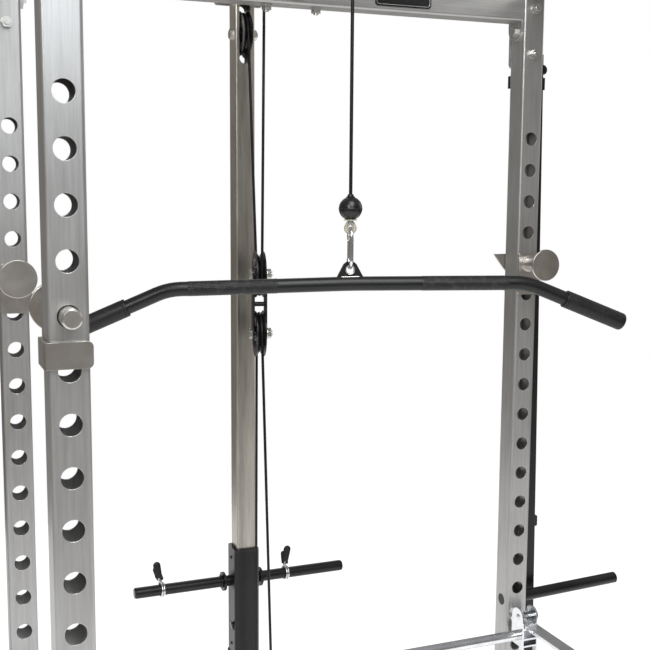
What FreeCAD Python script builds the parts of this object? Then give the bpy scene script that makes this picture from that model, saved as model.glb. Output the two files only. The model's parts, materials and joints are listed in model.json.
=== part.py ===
import FreeCAD, Part
import math
import os

V = FreeCAD.Vector
X = V(1, 0, 0)
Y = V(0, 1, 0)
Z = V(0, 0, 1)

# Power cage with a plate-loaded lat tower behind it. Millimetres. X to the right, Y towards the tower, Z up.
# The origin is on the floor, half way between the front uprights and the tower.

# Cage
cage_width = 1072.0          # left upright centre to right upright centre
cage_depth = 635.0           # front upright centre to rear upright centre
tower_distance = 940.0       # front upright centre to tower centre
upright_height = 2092.0      # floor to the top of an upright
tube = 50.0                  # side of the square frame tube
tube_wall = 2.0
tube_corner = 5.0
pad_thickness = 4.0
plate = 6.0                  # joining plates
rail_overhang = 150.0        # base rail beyond the uprights and the tower
foot_length = 110.0          # length of a foot plate
foot_bolt_reach = 40.0       # bolt to tube centre
rear_foot_width = 400.0

# Adjustment holes
hole_pitch = 66.0
hole_radius = 14.0
hole_count = 23
top_hole_drop = 292.0        # under the top of the upright
side_hole_drop = 15.5        # the storage peg's hole, in pitches below the top hole
side_hole_radius = 12.6

# Top of the cage
crossmember_drop = 0.0       # the rear crossmember's top under the uprights' tops
tab_below = 38.0             # end tab under the crossmember
tab_bolt_below = 19.0
face_bolt_low = 175.0        # bolts in the upright's front face, above the top hole
face_bolt_high = 268.0
pull_up_radius = 16.0
pull_up_wall = 2.5
pull_up_drop = 30.0
label_length = 124.0
label_height = 32.0
label_thickness = 1.5
label_x = 228.0

# Lat boom and tower
tower_side = 45.0
tower_rise = 63.0            # the tower stands this much above the uprights
slot_width = 26.0
slot_length = 130.0
tower_pulley_drop = 123.0    # under the tower's top
boom_plate_half = 75.0
boom_bolt_x = 51.0
clamp_half = 55.0
clamp_bolt_x = 40.0
clamp_height = 52.0
lat_line_y = 350.0           # lat cable behind the front uprights
boom_rear_line_y = 794.0     # the cable that drops to the pulley block, behind the front uprights
boom_front_margin = 74.0

# Pulleys and cable
pulley_radius = 50.0
pulley_width = 20.0
hub_width = 22.0
hub_radius = 14.0
groove_depth = 6.0           # pulley edge to cable centre
cable_radius = 3.0
groove_gap = 0.3
axle_radius = 6.0
axle_gap = 0.05
spacer_radius = 10.0
spacer_gap = 0.3

# Floating pulley block
block_y = 825.0              # behind the front uprights
block_upper_z = 1510.0
block_pulley_gap = 29.0      # between the two pulleys of the block
block_twist = -11.5
strap_thickness = 4.0
strap_width = 30.0
strap_gap = 0.5
runs_split_drop = 60.0       # the dropping cable's piece starts this far under the uprights' top

# Low pulley and cable anchor
low_pulley_y = 660.0
low_pulley_clear = 8.0       # above the base rails
low_bracket_plate = 5.0
low_tail = 120.0
anchor_y = 855.0

# Weight carriage
sleeve_wall = 2.5
stop_margin = 2.0            # the stop plate around the sleeve
sleeve_length = 254.0
sleeve_bottom_z = 605.0
bush_gap = 0.5
bush_wall = 4.5
bush_flange = 4.0
bush_depth = 40.0
horn_radius = 12.5
horn_reach = 256.0           # tower centre to the end of a plate horn
horn_z = 777.0
horn_back = 15.0             # horns behind the tower's centre
horn_flange_radius = 22.0
horn_flange_x = 45.0
horn_flange_thickness = 6.0
bumper_height = 25.0
stop_height = 8.0
lug_reach = 30.0

# Spring collars
collar_x_left = 189.0
collar_x_right = 104.0
collar_wire = 2.4
collar_gap = 0.4
collar_turns = 2
collar_handle = 50.0
collar_handle_upright = 5.0  # degrees back from straight up
collar_handle_back = 58.0
collar_out_left = 7.0        # degrees the handles lean out along the horn
collar_out_right = 14.0
collar_grip_start = 15.0

# Lat bar and its hanger
bar_z = 1529.0
bar_radius = 12.5
bar_wall = 2.5
bar_bend_x = 312.0
bar_bend_angle = 22.0
bar_bend_radius = 110.0
bar_half_span = 490.0
bar_grip_start = 382.0
bar_grip_wall = 3.0
bar_grip_end = 4.0
bar_yaw = -15.7
bar_tilt = -0.75
bar_arch = 0.75              # each half droops this much, degrees
bar_arch_radius = 1500.0
bar_lug_hole_z = 1553.0
bar_lug_hole = 8.0
bar_lug_thickness = 6.0
ball_z = 1658.0
ball_radius = 21.0
ball_washer_radius = 15.0
ball_washer = 3.0
eye_z = 1624.5
eye_major = 7.5
eye_minor = 3.0
hook_wire = 3.5
hook_width = 30.0
hook_play = 0.4
gate_radius = 2.7
gate_pin_radius = 1.2
gate_pin_drop = 3.2
gate_cheek = 1.2
gate_cheek_gap = 1.6         # centre line to the inside of a cheek
gate_cheek_radius = 2.6

# Bar hooks
bar_hook_index = 4
bar_hook_pin = 12.5
bar_hook_pin_out = 29.0
bar_hook_plate = 5.0
bar_hook_above = 22.0
bar_hook_below = 66.0
bar_hook_play = 0.5
bar_hook_peg = 15.0
bar_hook_peg_length = 58.0
bar_hook_disc = 33.0
bar_hook_disc_thickness = 5.0
band_top = 30.0
band_bottom = 63.0
band_end = 3.0
wing_thickness = 4.0
wing_reach = 52.0            # pin centre to the tip of the keeper's wing
wing_tip_low = -12.0
wing_tip_high = 18.0
wing_half = 20.0

# Safety bars and their brackets
bracket_index = 16           # the adjustment hole that holds the bracket's pin
bracket_width = 40.0
bracket_depth = 42.0
bracket_standoff = 12.0
bracket_plate = 4.0
bracket_top = 34.0           # above the bracket's pin
bracket_shelf = 30.0         # below the bracket's pin
bracket_bottom = 50.0
bracket_leg_depth = 12.0
bracket_leg = 90.0
bracket_pin_past = 6.0       # past the upright's other face
stop_rod_radius = 3.5
stop_rod_nut = 13.0
safety_thickness = 9.0
safety_drop = 11.0           # stop rod's centre to the top of the bar
safety_side_gap = 1.0
safety_end_gap = 1.5
safety_corner = 1.5
cross_tube_radius = 11.0
cross_tube_wall = 2.0
cross_tube_below = 41.5      # under the stop rods

# Plate storage
peg_radius = 12.5
peg_out = 259.0
peg_tilt = 2.0
peg_flange_radius = 18.0
peg_flange = 4.0
strut_side = 30.0
strut_wall = 2.0
strut_top_drop = 107.0       # under the top of the upright
strut_top_x = 50.0           # strut centre outside the upright centre, at its top
strut_lean = 0.9
strut_tab_drop = 63.0
strut_lug_z = 935.0
strut_lug_reach = 9.0
strut_lug_height = 25.0
strut_lug_width = 18.0
strut_tab_half = 13.0
knob_radius = 11.0
knob_length = 22.0
knob_drop = 35.0

# Fasteners
bolt_radius = 5.0
bolt_play = 0.5
bolt_head_af = 17.0
bolt_head = 6.4
nut_height = 8.0
washer_radius = 10.0
washer_thickness = 2.0
bolt_end = 3.0

# Derived places
front_y = -tower_distance / 2.0
rear_y = front_y + cage_depth
tower_y = tower_distance / 2.0
side_x = cage_width / 2.0
half = tube / 2.0
inner_x = side_x - half
rail_z = pad_thickness
rail_top = rail_z + tube
foot_top = rail_top + plate
top_rail_z = upright_height
crossmember_z = upright_height - crossmember_drop - tube
boom_z = upright_height + plate
boom_axis_z = boom_z + half
tower_half = tower_side / 2.0
tower_height = upright_height + tower_rise
tower_pulley_z = tower_height - tower_pulley_drop
top_hole_z = upright_height - top_hole_drop
strut_top_z = upright_height - strut_top_drop
runs_split_z = upright_height - runs_split_drop
cap = 3.0
front_end_y = front_y - rail_overhang
rear_end_y = tower_y + rail_overhang
pitch_radius = pulley_radius - groove_depth
block_lower_z = block_upper_z - 2 * pulley_radius - block_pulley_gap
low_pulley_z = rail_top + low_pulley_clear + pulley_radius
boom_front_pulley_y = front_y + lat_line_y + pitch_radius
boom_rear_pulley_y = front_y + boom_rear_line_y - pitch_radius
boom_front_y = boom_front_pulley_y - boom_front_margin
boom_rear_y = tower_y - tower_half - plate
block_line_y = front_y + block_y
low_y = front_y + low_pulley_y
anchor_line_y = front_y + anchor_y
sleeve_half = tower_half + bush_gap + bush_wall + sleeve_wall
stop_half = sleeve_half + stop_margin
horn_y = tower_y + horn_back
sleeve_top_z = sleeve_bottom_z + sleeve_length
carriage_line_y = tower_y + pitch_radius
lat_y = front_y + lat_line_y
hook_z = top_hole_z - bar_hook_index * hole_pitch
bracket_pin_z = top_hole_z - bracket_index * hole_pitch
stop_rod_y = half + bracket_standoff + bracket_depth / 2.0
stop_rod_z = bracket_pin_z + bracket_top - bracket_depth / 2.0
safety_top = stop_rod_z - safety_drop
side_hole_z = top_hole_z - side_hole_drop * hole_pitch


def save(node, solids):
    """Write one node, made of one or more solids."""
    shape = solids[0] if len(solids) == 1 else Part.makeCompound(solids)
    shape.exportStep("parts/" + node + ".step")
    volumes = [round(s.Volume) for s in shape.Solids]
    print(node, len(shape.Solids), shape.isValid(), volumes[:6])


def block(x0, x1, y0, y1, z0, z1):
    return Part.makeBox(x1 - x0, y1 - y0, z1 - z0, V(x0, y0, z0))


def rod(radius, start, end):
    axis = end.sub(start)
    return Part.makeCylinder(radius, axis.Length, start, axis)


def pipe(radius, wall, start, end):
    return rod(radius, start, end).cut(rod(radius - wall, start, end))


def cut_all(shape, tools):
    for tool in tools:
        shape = shape.cut(tool)
    return shape


def fuse_all(shapes):
    shape = shapes[0]
    for other in shapes[1:]:
        shape = shape.fuse(other)
    return shape.removeSplitter()


def is_along(edge, axis):
    if not isinstance(edge.Curve, Part.Line):
        return False
    return abs(abs(edge.Curve.Direction.dot(axis)) - 1.0) < 1e-6


def soften(shape, axis, radius):
    """Round the edges that run along one axis."""
    edges = [e for e in shape.Edges if is_along(e, axis)]
    return shape.makeFillet(radius, edges)


def square_tube(shape, axis, wall, corner):
    """Hollow a solid bar along one axis, with rounded corners outside and inside."""
    box = shape.BoundBox
    skin = V(wall, wall, wall)
    lengthwise = V(abs(axis.x), abs(axis.y), abs(axis.z)) * (wall * 2.0)
    low = V(box.XMin, box.YMin, box.ZMin) + skin - lengthwise
    high = V(box.XMax, box.YMax, box.ZMax) - skin + lengthwise
    inside = block(low.x, high.x, low.y, high.y, low.z, high.z)
    inside = soften(inside, axis, max(corner - wall, 0.5))
    return soften(shape, axis, corner).cut(inside)


def turned(shape, centre, axis, degrees):
    shape = shape.copy()
    shape.rotate(centre, axis, degrees)
    return shape


def mirrored(shape):
    return shape.mirror(V(0, 0, 0), X)


def hexagon(across, height, base, axis):
    corner = across / math.sqrt(3.0)
    points = [V(corner * math.cos(math.radians(60 * k)), corner * math.sin(math.radians(60 * k)), 0)
              for k in range(7)]
    prism = Part.Face(Part.makePolygon(points)).extrude(V(0, 0, height))
    prism.Placement = FreeCAD.Placement(base, FreeCAD.Rotation(Z, axis))
    return prism


def ring(outer, inner, height, base, axis):
    end = base + axis * height
    return rod(outer, base, end).cut(rod(inner, base, end))


def bolt(head_base, axis, grip, radius=bolt_radius):
    """A hex bolt whose shank runs along axis from the face that its head rests on."""
    head = hexagon(bolt_head_af * radius / bolt_radius, bolt_head, head_base, axis * -1.0)
    return fuse_all([head, rod(radius, head_base, head_base + axis * grip)])


def nut(base, axis, radius=bolt_radius):
    body = hexagon(bolt_head_af * radius / bolt_radius, nut_height, base, axis)
    return body.cut(rod(radius, base - axis, base + axis * (nut_height + 1.0)))


def washer(base, axis):
    return ring(washer_radius, bolt_radius, washer_thickness, base, axis)


def drill(at, axis, reach, radius=bolt_radius + bolt_play):
    return rod(radius, at - axis * reach, at + axis * reach)


def fillet_path(points, radii):
    """Straight runs through the points, joined by tangent arcs."""
    edges = []
    start = points[0]
    for i in range(1, len(points) - 1):
        before = (points[i] - points[i - 1]).normalize()
        after = (points[i + 1] - points[i]).normalize()
        turn = before.getAngle(after)
        reach = radii[i - 1] * math.tan(turn / 2.0)
        arc_start = points[i] - before * reach
        arc_end = points[i] + after * reach
        inward = (after - before).normalize()
        centre = points[i] + inward * (radii[i - 1] / math.cos(turn / 2.0))
        middle = centre - inward * radii[i - 1]
        if (arc_start - start).Length > 1e-6:
            edges.append(Part.LineSegment(start, arc_start).toShape())
        edges.append(Part.Arc(arc_start, middle, arc_end).toShape())
        start = arc_end
    if (points[-1] - start).Length > 1e-6:
        edges.append(Part.LineSegment(start, points[-1]).toShape())
    return Part.Wire(edges)


def tube_along(path, radius):
    first = path.OrderedEdges[0]
    direction = first.tangentAt(first.FirstParameter)
    start = first.valueAt(first.FirstParameter)
    profile = Part.Wire([Part.makeCircle(radius, start, direction)])
    swept = path.makePipeShell([profile], True, False)
    ratio = swept.Volume / (math.pi * radius * radius * path.Length)
    print("  swept length", round(path.Length, 1), "volume ratio", round(ratio, 4))
    return swept


# ---- uprights and base ----

def foot_plate(x, y):
    """The plate under an upright or the tower, with its two bolt holes."""
    foot = block(x - half, x + half, y - foot_length / 2, y + foot_length / 2, rail_top, foot_top)
    foot = soften(foot, Z, 6.0)
    return cut_all(foot, [drill(V(x, y + s * foot_bolt_reach, foot_top), Z, plate * 2) for s in (-1, 1)])


def upright(x, y, outward):
    """An upright and its welded foot plate. Outward is the side away from the cage's middle, +1 or -1."""
    shape = square_tube(block(x - half, x + half, y - half, y + half, foot_top, upright_height),
                        Z, tube_wall, tube_corner)
    foot = foot_plate(x, y)
    cuts = [drill(V(x, y, top_hole_z - i * hole_pitch), Y, half + 1, hole_radius) for i in range(hole_count)]
    for height in (face_bolt_low, face_bolt_high):
        cuts.append(drill(V(x, y, top_hole_z + height), Y, half + 1))
    tab_bolt_z = crossmember_z - tab_bolt_below
    inner_face = V(x - outward * half, y, tab_bolt_z)
    cuts.append(drill(inner_face, X, tube_wall * 2))
    if y == rear_y:
        cuts.append(drill(V(x, y, side_hole_z), X, half + 1, side_hole_radius))
        cuts.append(drill(V(x, y + half, strut_top_z - strut_tab_drop), Y, tube_wall * 2))
    return [cut_all(shape, cuts), foot]


def base_rail(x):
    end = rear_y + rail_overhang
    shape = block(x - half, x + half, front_end_y + cap, end, rail_z, rail_top)
    shape = square_tube(shape, Y, tube_wall, tube_corner)
    cuts = []
    for y in (front_y, rear_y):
        cuts += [drill(V(x, y + s * foot_bolt_reach, rail_top), Z, tube_wall * 2) for s in (-1, 1)]
    cuts.append(drill(V(x, rear_y + foot_length / 2 + 1 + strut_side / 2, rail_top), Z, tube_wall * 2))
    inner_face = x - math.copysign(half, x)
    cuts += [drill(V(inner_face, rear_y + s * foot_bolt_reach, rail_z + half), X, tube_wall * 2)
             for s in (-1, 1)]
    return cut_all(shape, cuts)


def base_rear_crossmember():
    reach = inner_x - plate
    shape = square_tube(block(-reach, reach, rear_y - half, rear_y + half, rail_z, rail_top),
                        X, tube_wall, tube_corner)
    ends = []
    for side in (-1, 1):
        end = block(min(side * reach, side * inner_x), max(side * reach, side * inner_x),
                    rear_y - foot_length / 2, rear_y + foot_length / 2, rail_z, rail_top)
        holes = [drill(V(side * inner_x, rear_y + s * foot_bolt_reach, rail_z + half), X, plate * 2)
                 for s in (-1, 1)]
        ends.append(cut_all(end, holes))
    shape = fuse_all([shape] + ends)
    holes = [drill(V(s * foot_bolt_reach, rear_y + half, rail_z + half), Y, tube_wall * 2) for s in (-1, 1)]
    return cut_all(shape, holes)


def tower_base():
    """The beam under the tower, with its front plate, its cross foot and the cable anchor."""
    start = rear_y + half
    foot_y = rear_end_y - tube
    beam = square_tube(block(-half, half, start + plate, foot_y, rail_z, rail_top), Y, tube_wall, tube_corner)
    front = block(-foot_length / 2, foot_length / 2, start, start + plate, rail_z, rail_top)
    holes = [drill(V(s * foot_bolt_reach, start, rail_z + half), Y, plate * 2) for s in (-1, 1)]
    front = cut_all(front, holes)
    foot_reach = rear_foot_width / 2 - cap
    foot = square_tube(block(-foot_reach, foot_reach, foot_y, rear_end_y, rail_z, rail_top),
                       X, tube_wall, tube_corner)
    anchor = block(-3, 3, anchor_line_y - 15, anchor_line_y + 15, rail_top - 1, rail_top + 34)
    anchor = soften(anchor, X, 8.0)
    anchor = anchor.cut(drill(V(0, anchor_line_y, rail_top + 20), X, 5, 5.5))
    anchor = anchor.cut(block(-4, 4, anchor_line_y - 16, anchor_line_y + 16, rail_top - 2, rail_top - 0.9))
    shape = fuse_all([beam, front, foot, anchor])
    holes = [drill(V(0, tower_y + s * foot_bolt_reach, rail_top), Z, tube_wall * 2) for s in (-1, 1)]
    return cut_all(shape, holes)


def tower():
    shape = square_tube(block(-tower_half, tower_half, tower_y - tower_half, tower_y + tower_half,
                              foot_top, tower_height), Z, tube_wall, tube_corner - 1)
    stop_top = sleeve_bottom_z - bumper_height
    stop = block(-stop_half, stop_half, tower_y - stop_half, tower_y + stop_half,
                 stop_top - stop_height, stop_top)
    stop = soften(stop, Z, 6.0)
    core = block(-tower_half, tower_half, tower_y - tower_half, tower_y + tower_half,
                 stop_top - stop_height - 1, stop_top + 1)
    stop = stop.cut(soften(core, Z, tube_corner - 1))
    slot = block(-slot_width / 2, slot_width / 2, tower_y - tower_half - 1, tower_y + tower_half + 1,
                 tower_pulley_z - slot_length / 2, tower_pulley_z + slot_length / 2)
    cuts = [soften(slot, Y, slot_width / 2 - 0.5)]
    cuts.append(drill(V(0, tower_y, tower_pulley_z), X, tower_half + 1, axle_radius + bolt_play))
    return [cut_all(shape, cuts), foot_plate(0, tower_y), stop]


def carriage_bumper():
    low = sleeve_bottom_z - bumper_height
    shape = block(-stop_half, stop_half, tower_y - stop_half, tower_y + stop_half, low, sleeve_bottom_z)
    reach = tower_half + bush_gap
    core = block(-reach, reach, tower_y - reach, tower_y + reach, low - 1, sleeve_bottom_z + 1)
    return soften(shape, Z, 8.0).cut(soften(core, Z, tube_corner - 1))


# ---- top of the cage ----

def top_rail(x):
    """A top rail with the end plates that hang down over the outer faces of two uprights."""
    start = front_y - half
    end = rear_y + half
    shape = square_tube(block(x - half, x + half, start, end, top_rail_z, top_rail_z + tube),
                        Y, tube_wall, tube_corner)
    plates = []
    for y in (start - plate, end):
        drop = top_hole_z + face_bolt_low - 25
        hanger = block(x - half, x + half, y, y + plate, drop, top_rail_z + tube)
        hanger = soften(hanger, Y, 10.0)
        holes = [drill(V(x, y, top_hole_z + h), Y, plate * 2) for h in (face_bolt_low, face_bolt_high)]
        plates.append(cut_all(hanger, holes))
    return fuse_all([shape] + plates)


def end_tab(side, y, low, high, bolt_z):
    """A tab that lies on an upright's inner face, rounded at its lower end."""
    outer = side * inner_x
    inner = side * (inner_x - plate)
    body = block(min(outer, inner), max(outer, inner), y - half, y + half, low + half, high)
    end = rod(half, V(min(outer, inner), y, low + half), V(max(outer, inner), y, low + half))
    return fuse_all([body, end]).cut(drill(V(outer, y, bolt_z), X, plate * 2))


def rear_top_crossmember():
    reach = inner_x - plate
    top = crossmember_z + tube
    shape = square_tube(block(-reach, reach, rear_y - half, rear_y + half, crossmember_z, top),
                        X, tube_wall, tube_corner)
    tab_low = crossmember_z - tab_below
    tab_bolt = crossmember_z - tab_bolt_below
    tabs = [end_tab(s, rear_y, tab_low, top, tab_bolt) for s in (-1, 1)]
    shape = fuse_all([shape] + tabs)
    return cut_all(shape, [drill(V(s * boom_bolt_x, rear_y, crossmember_z + half), Z, tube) for s in (-1, 1)])


def pull_up_bar():
    reach = inner_x - plate
    z = upright_height - pull_up_drop
    bar = pipe(pull_up_radius, pull_up_wall, V(-reach, front_y, z), V(reach, front_y, z))
    low = crossmember_z - tab_below
    tabs = [end_tab(s, front_y, low, upright_height, crossmember_z - tab_bolt_below) for s in (-1, 1)]
    return fuse_all([bar] + tabs)


def label_plate():
    low = crossmember_z + (tube - label_height) / 2
    face = rear_y - half
    shape = block(label_x - label_length / 2, label_x + label_length / 2, face - label_thickness, face,
                  low, low + label_height)
    return soften(shape, Y, 7.0)


def lat_boom():
    """The boom over the cage, with its saddle plate and its clamp plate on the tower's front face."""
    shape = square_tube(block(-half, half, boom_front_y, boom_rear_y, boom_z, boom_z + tube),
                        Y, tube_wall, tube_corner)
    saddle = block(-boom_plate_half, boom_plate_half, rear_y - half, rear_y + half, upright_height, boom_z)
    saddle = soften(saddle, Z, 8.0)
    saddle = cut_all(saddle, [drill(V(s * boom_bolt_x, rear_y, boom_z), Z, plate * 2) for s in (-1, 1)])
    shape = fuse_all([shape, saddle, clamp_plate(boom_rear_y)])
    slots = []
    for y in (boom_front_pulley_y, boom_rear_pulley_y):
        slot = block(-slot_width / 2, slot_width / 2, y - slot_length / 2 + 5, y + slot_length / 2 - 5,
                     boom_z - 10, boom_z + tube + 10)
        slots.append(soften(slot, Z, slot_width / 2 - 0.5))
        slots.append(drill(V(0, y, boom_axis_z), X, half + 1, axle_radius + bolt_play))
    return cut_all(shape, slots)


def clamp_plate(y):
    low = boom_axis_z - clamp_height / 2
    shape = block(-clamp_half, clamp_half, y, y + plate, low, low + clamp_height)
    holes = [drill(V(s * clamp_bolt_x, y, boom_axis_z), Y, plate * 2) for s in (-1, 1)]
    return cut_all(soften(shape, Y, 6.0), holes)


def end_caps():
    """Plastic plugs in the open tube ends."""
    caps = []
    for x in (-side_x, side_x):
        for y, rest in ((front_end_y, 0), (rear_y + rail_overhang, 0)):
            lid = block(x - half, x + half, y, y + cap, rail_z, rail_top)
            caps.append(soften(lid, Y, tube_corner))
    foot_y = rear_end_y - tube
    for x in (-rear_foot_width / 2, rear_foot_width / 2 - cap):
        lid = block(x, x + cap, foot_y, rear_end_y, rail_z, rail_top)
        caps.append(soften(lid, X, tube_corner))
    lid = block(-half, half, boom_front_y - cap, boom_front_y, boom_z, boom_z + tube)
    caps.append(soften(lid, Y, tube_corner))
    lid = block(-tower_half, tower_half, tower_y - tower_half, tower_y + tower_half,
                tower_height, tower_height + cap)
    caps.append(soften(lid, Z, tube_corner - 1))
    return caps


def floor_pads():
    pads = []
    for x in (-side_x, side_x):
        for y in (front_end_y + 10, front_y - 30, rear_y - 30, rear_y + rail_overhang - 70):
            pads.append(soften(block(x - half + 3, x + half - 3, y, y + 60, 0, rail_z), Z, 5.0))
    for x in (-rear_foot_width / 2 + 10, rear_foot_width / 2 - 70):
        pads.append(soften(block(x, x + 60, rear_end_y - tube + 3, rear_end_y - 3, 0, rail_z), Z, 5.0))
    return pads


# ---- fasteners ----

def through_bolt(at, axis, grip, bolts, nuts):
    """A bolt from its head at one face to a washer and nut at the other."""
    bolts.append(bolt(at, axis, grip + washer_thickness + nut_height + bolt_end))
    bolts.append(washer(at + axis * grip, axis))
    nuts.append(nut(at + axis * (grip + washer_thickness), axis))


def frame_fasteners():
    bolts = []
    nuts = []
    for side in (-1, 1):
        x = side * side_x
        for y, direction in ((front_y, 1), (rear_y, -1)):
            for s in (-1, 1):
                bolts.append(bolt(V(x, y + s * foot_bolt_reach, foot_top), Z * -1.0, plate + tube_wall + 8))
            start = y - direction * (half + plate)
            for h in (face_bolt_low, face_bolt_high):
                at = V(x, start, top_hole_z + h)
                through_bolt(at, Y * direction, tube + plate, bolts, nuts)
            head = V(side * (inner_x - plate), y, crossmember_z - tab_bolt_below)
            bolts.append(bolt(head, X * side, plate + tube_wall + 8))
        tab_at = V(x, rear_y + half + plate, strut_top_z - strut_tab_drop)
        bolts.append(bolt(tab_at, Y * -1.0, plate + tube_wall + 8))
        toe_y = rear_y + foot_length / 2 + 1 + strut_side / 2
        bolts.append(bolt(V(x, toe_y, foot_top), Z * -1.0, plate + tube_wall + 8))
        for s in (-1, 1):
            head = V(side * (inner_x - plate), rear_y + s * foot_bolt_reach, rail_z + half)
            bolts.append(bolt(head, X * side, plate + tube_wall + 8))
            at = V(side * foot_bolt_reach, rear_y + half + plate, rail_z + half)
        bolts.append(bolt(at, Y * -1.0, plate + tube_wall + 8))
        bolts.append(bolt(V(0, tower_y + side * foot_bolt_reach, foot_top), Z * -1.0, plate + tube_wall + 8))
        through_bolt(V(side * boom_bolt_x, rear_y, boom_z), Z * -1.0, tube + plate, bolts, nuts)
        through_bolt(V(side * clamp_bolt_x, boom_rear_y, boom_axis_z), Y, tower_side + 2 * plate, bolts, nuts)
    return bolts, nuts


# ---- pulleys ----

def pulley(centre):
    """A grooved pulley on an axle along X."""
    rim = pulley_width / 2.0
    hub = hub_width / 2.0
    bottom = pitch_radius - cable_radius - groove_gap
    groove = cable_radius + groove_gap
    bore = axle_radius + axle_gap
    points = [V(-hub, bore, 0), V(-hub, hub_radius, 0), V(-rim + 4, hub_radius + 4, 0),
              V(-rim + 4, bottom - 8, 0), V(-rim, bottom - 4, 0), V(-rim, pulley_radius, 0),
              V(-rim + 1.5, pulley_radius, 0), V(-groove, pitch_radius, 0)]
    edges = [Part.LineSegment(a, b).toShape() for a, b in zip(points[:-1], points[1:])]
    edges.append(Part.Arc(V(-groove, pitch_radius, 0), V(0, bottom, 0), V(groove, pitch_radius, 0)).toShape())
    right = [V(-p.x, p.y, 0) for p in reversed(points)]
    edges += [Part.LineSegment(a, b).toShape() for a, b in zip(right[:-1], right[1:])]
    edges.append(Part.LineSegment(right[-1], points[0]).toShape())
    shape = Part.Face(Part.Wire(edges)).revolve(V(0, 0, 0), X, 360)
    shape.translate(centre)
    return shape


def axle_set(centre, wall_half, inside_half):
    """An axle bolt through two walls, its spacers, its washer and its nut."""
    length = 2 * wall_half + washer_thickness + nut_height + bolt_end
    start = centre - X * wall_half
    parts = [bolt(start, X, length, axle_radius)]
    parts.append(nut(centre + X * (wall_half + washer_thickness), X, axle_radius))
    parts.append(ring(washer_radius + 2, axle_radius, washer_thickness, centre + X * wall_half, X))
    for side in (-1, 1):
        width = inside_half - hub_width / 2 - 2 * spacer_gap
        if width > 0.8:
            base = centre + X * side * (hub_width / 2 + spacer_gap)
            parts.append(ring(spacer_radius, axle_radius, width, base, X * side))
    return parts


def low_pulley_bracket():
    """Two ears and a foot, welded over the rear base crossmember."""
    inside = hub_width / 2 + strap_gap
    outside = inside + low_bracket_plate
    foot_front = rear_y - half + 2
    foot_back = rear_y + half - 2
    foot = block(-outside, outside, foot_front, foot_back, rail_top, rail_top + low_bracket_plate)
    ears = []
    for side in (-1, 1):
        a = side * inside
        b = side * outside
        ear = block(min(a, b), max(a, b), foot_front, low_y + 20, rail_top + 0.01, low_pulley_z + 18)
        ear = ear.cut(block(-40, 40, foot_back, low_y + 30, rail_top - 1, rail_top + 12))
        ears.append(soften(ear, X, 4.0))
    shape = fuse_all([foot] + ears)
    return shape.cut(drill(V(0, low_y, low_pulley_z), X, 40, axle_radius + bolt_play))


def strap(side):
    inner = side * (hub_width / 2 + strap_gap)
    outer = inner + side * strap_thickness
    low = min(inner, outer)
    body = block(low, low + strap_thickness, block_line_y - strap_width / 2, block_line_y + strap_width / 2,
                 block_lower_z, block_upper_z)
    ends = [rod(strap_width / 2, V(low, block_line_y, z), V(low + strap_thickness, block_line_y, z))
            for z in (block_lower_z, block_upper_z)]
    shape = fuse_all([body] + ends)
    for z in (block_lower_z, block_upper_z):
        shape = shape.cut(drill(V(0, block_line_y, z), X, 30, axle_radius + 0.1))
    return shape


def twist(shape):
    return turned(shape, V(0, block_line_y, 0), Z, block_twist)


def pulley_block():
    straps = [twist(strap(-1)), twist(strap(1))]
    middle = (block_upper_z + block_lower_z) / 2
    reach = hub_width / 2 + strap_gap
    tie = rod(5.0, V(-reach, block_line_y, middle), V(reach, block_line_y, middle))
    straps.append(twist(tie))
    axles = []
    wall = reach + strap_thickness
    for z in (block_upper_z, block_lower_z):
        axles += [twist(s) for s in axle_set(V(0, block_line_y, z), wall, hub_width / 2)]
    return straps, axles


# ---- cables ----

def tangent_point(point, centre, side):
    """Where a line from a point touches a cable circle, in the plane X = 0. Side is -1 for the front."""
    away = math.hypot(point.y - centre.y, point.z - centre.z)
    to_point = math.atan2(point.z - centre.z, point.y - centre.y)
    spread = math.acos(pitch_radius / away)
    angle = to_point - side * spread
    return V(0, centre.y + pitch_radius * math.cos(angle), centre.z + pitch_radius * math.sin(angle))


def block_side(z, side):
    """The end of the cable circle on the twisted block, at the height of its axle."""
    angle = math.radians(block_twist)
    return V(-side * pitch_radius * math.sin(angle), block_line_y + side * pitch_radius * math.cos(angle), z)


def boom_cable():
    """From the lat line over both boom pulleys, then down to where the block's front run starts."""
    top = boom_axis_z + pitch_radius
    rear = boom_rear_pulley_y + pitch_radius
    corners = [V(0, lat_y, boom_axis_z), V(0, lat_y, top), V(0, rear, top), V(0, rear, runs_split_z)]
    path = fillet_path(corners, [pitch_radius, pitch_radius])
    return tube_along(path, cable_radius)


def tower_cable():
    """Over the tower's pulley, from the block's rear run to the carriage run."""
    centre = V(0, tower_y, tower_pulley_z)
    low = block_side(block_upper_z, 1)
    start = tangent_point(V(0, low.y, low.z), centre, 1)
    end = V(0, carriage_line_y, tower_pulley_z)
    top = centre + Z * pitch_radius
    quarter = (start - centre).normalize() + Z
    first = Part.Arc(start, centre + quarter.normalize() * pitch_radius, top).toShape()
    corner = (Y + Z).normalize()
    second = Part.Arc(top, centre + corner * pitch_radius, end).toShape()
    return tube_along(Part.Wire([first, second]), cable_radius), start


def block_turn(z, above):
    sign = 1 if above else -1
    centre = V(0, block_line_y, z)
    path = Part.Wire([Part.Arc(centre - Y * pitch_radius, centre + Z * sign * pitch_radius,
                               centre + Y * pitch_radius).toShape()])
    return twist(tube_along(path, cable_radius))


def low_turn():
    """From the block's front run round under the low pulley, and forward along the floor."""
    centre = V(0, low_y, low_pulley_z)
    start = centre + Y * pitch_radius
    corner = (Y - Z).normalize()
    end = centre - Z * pitch_radius
    path = Part.Wire([Part.Arc(start, centre + corner * pitch_radius, end).toShape()])
    return tube_along(path, cable_radius)


# ---- carriage ----

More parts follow.
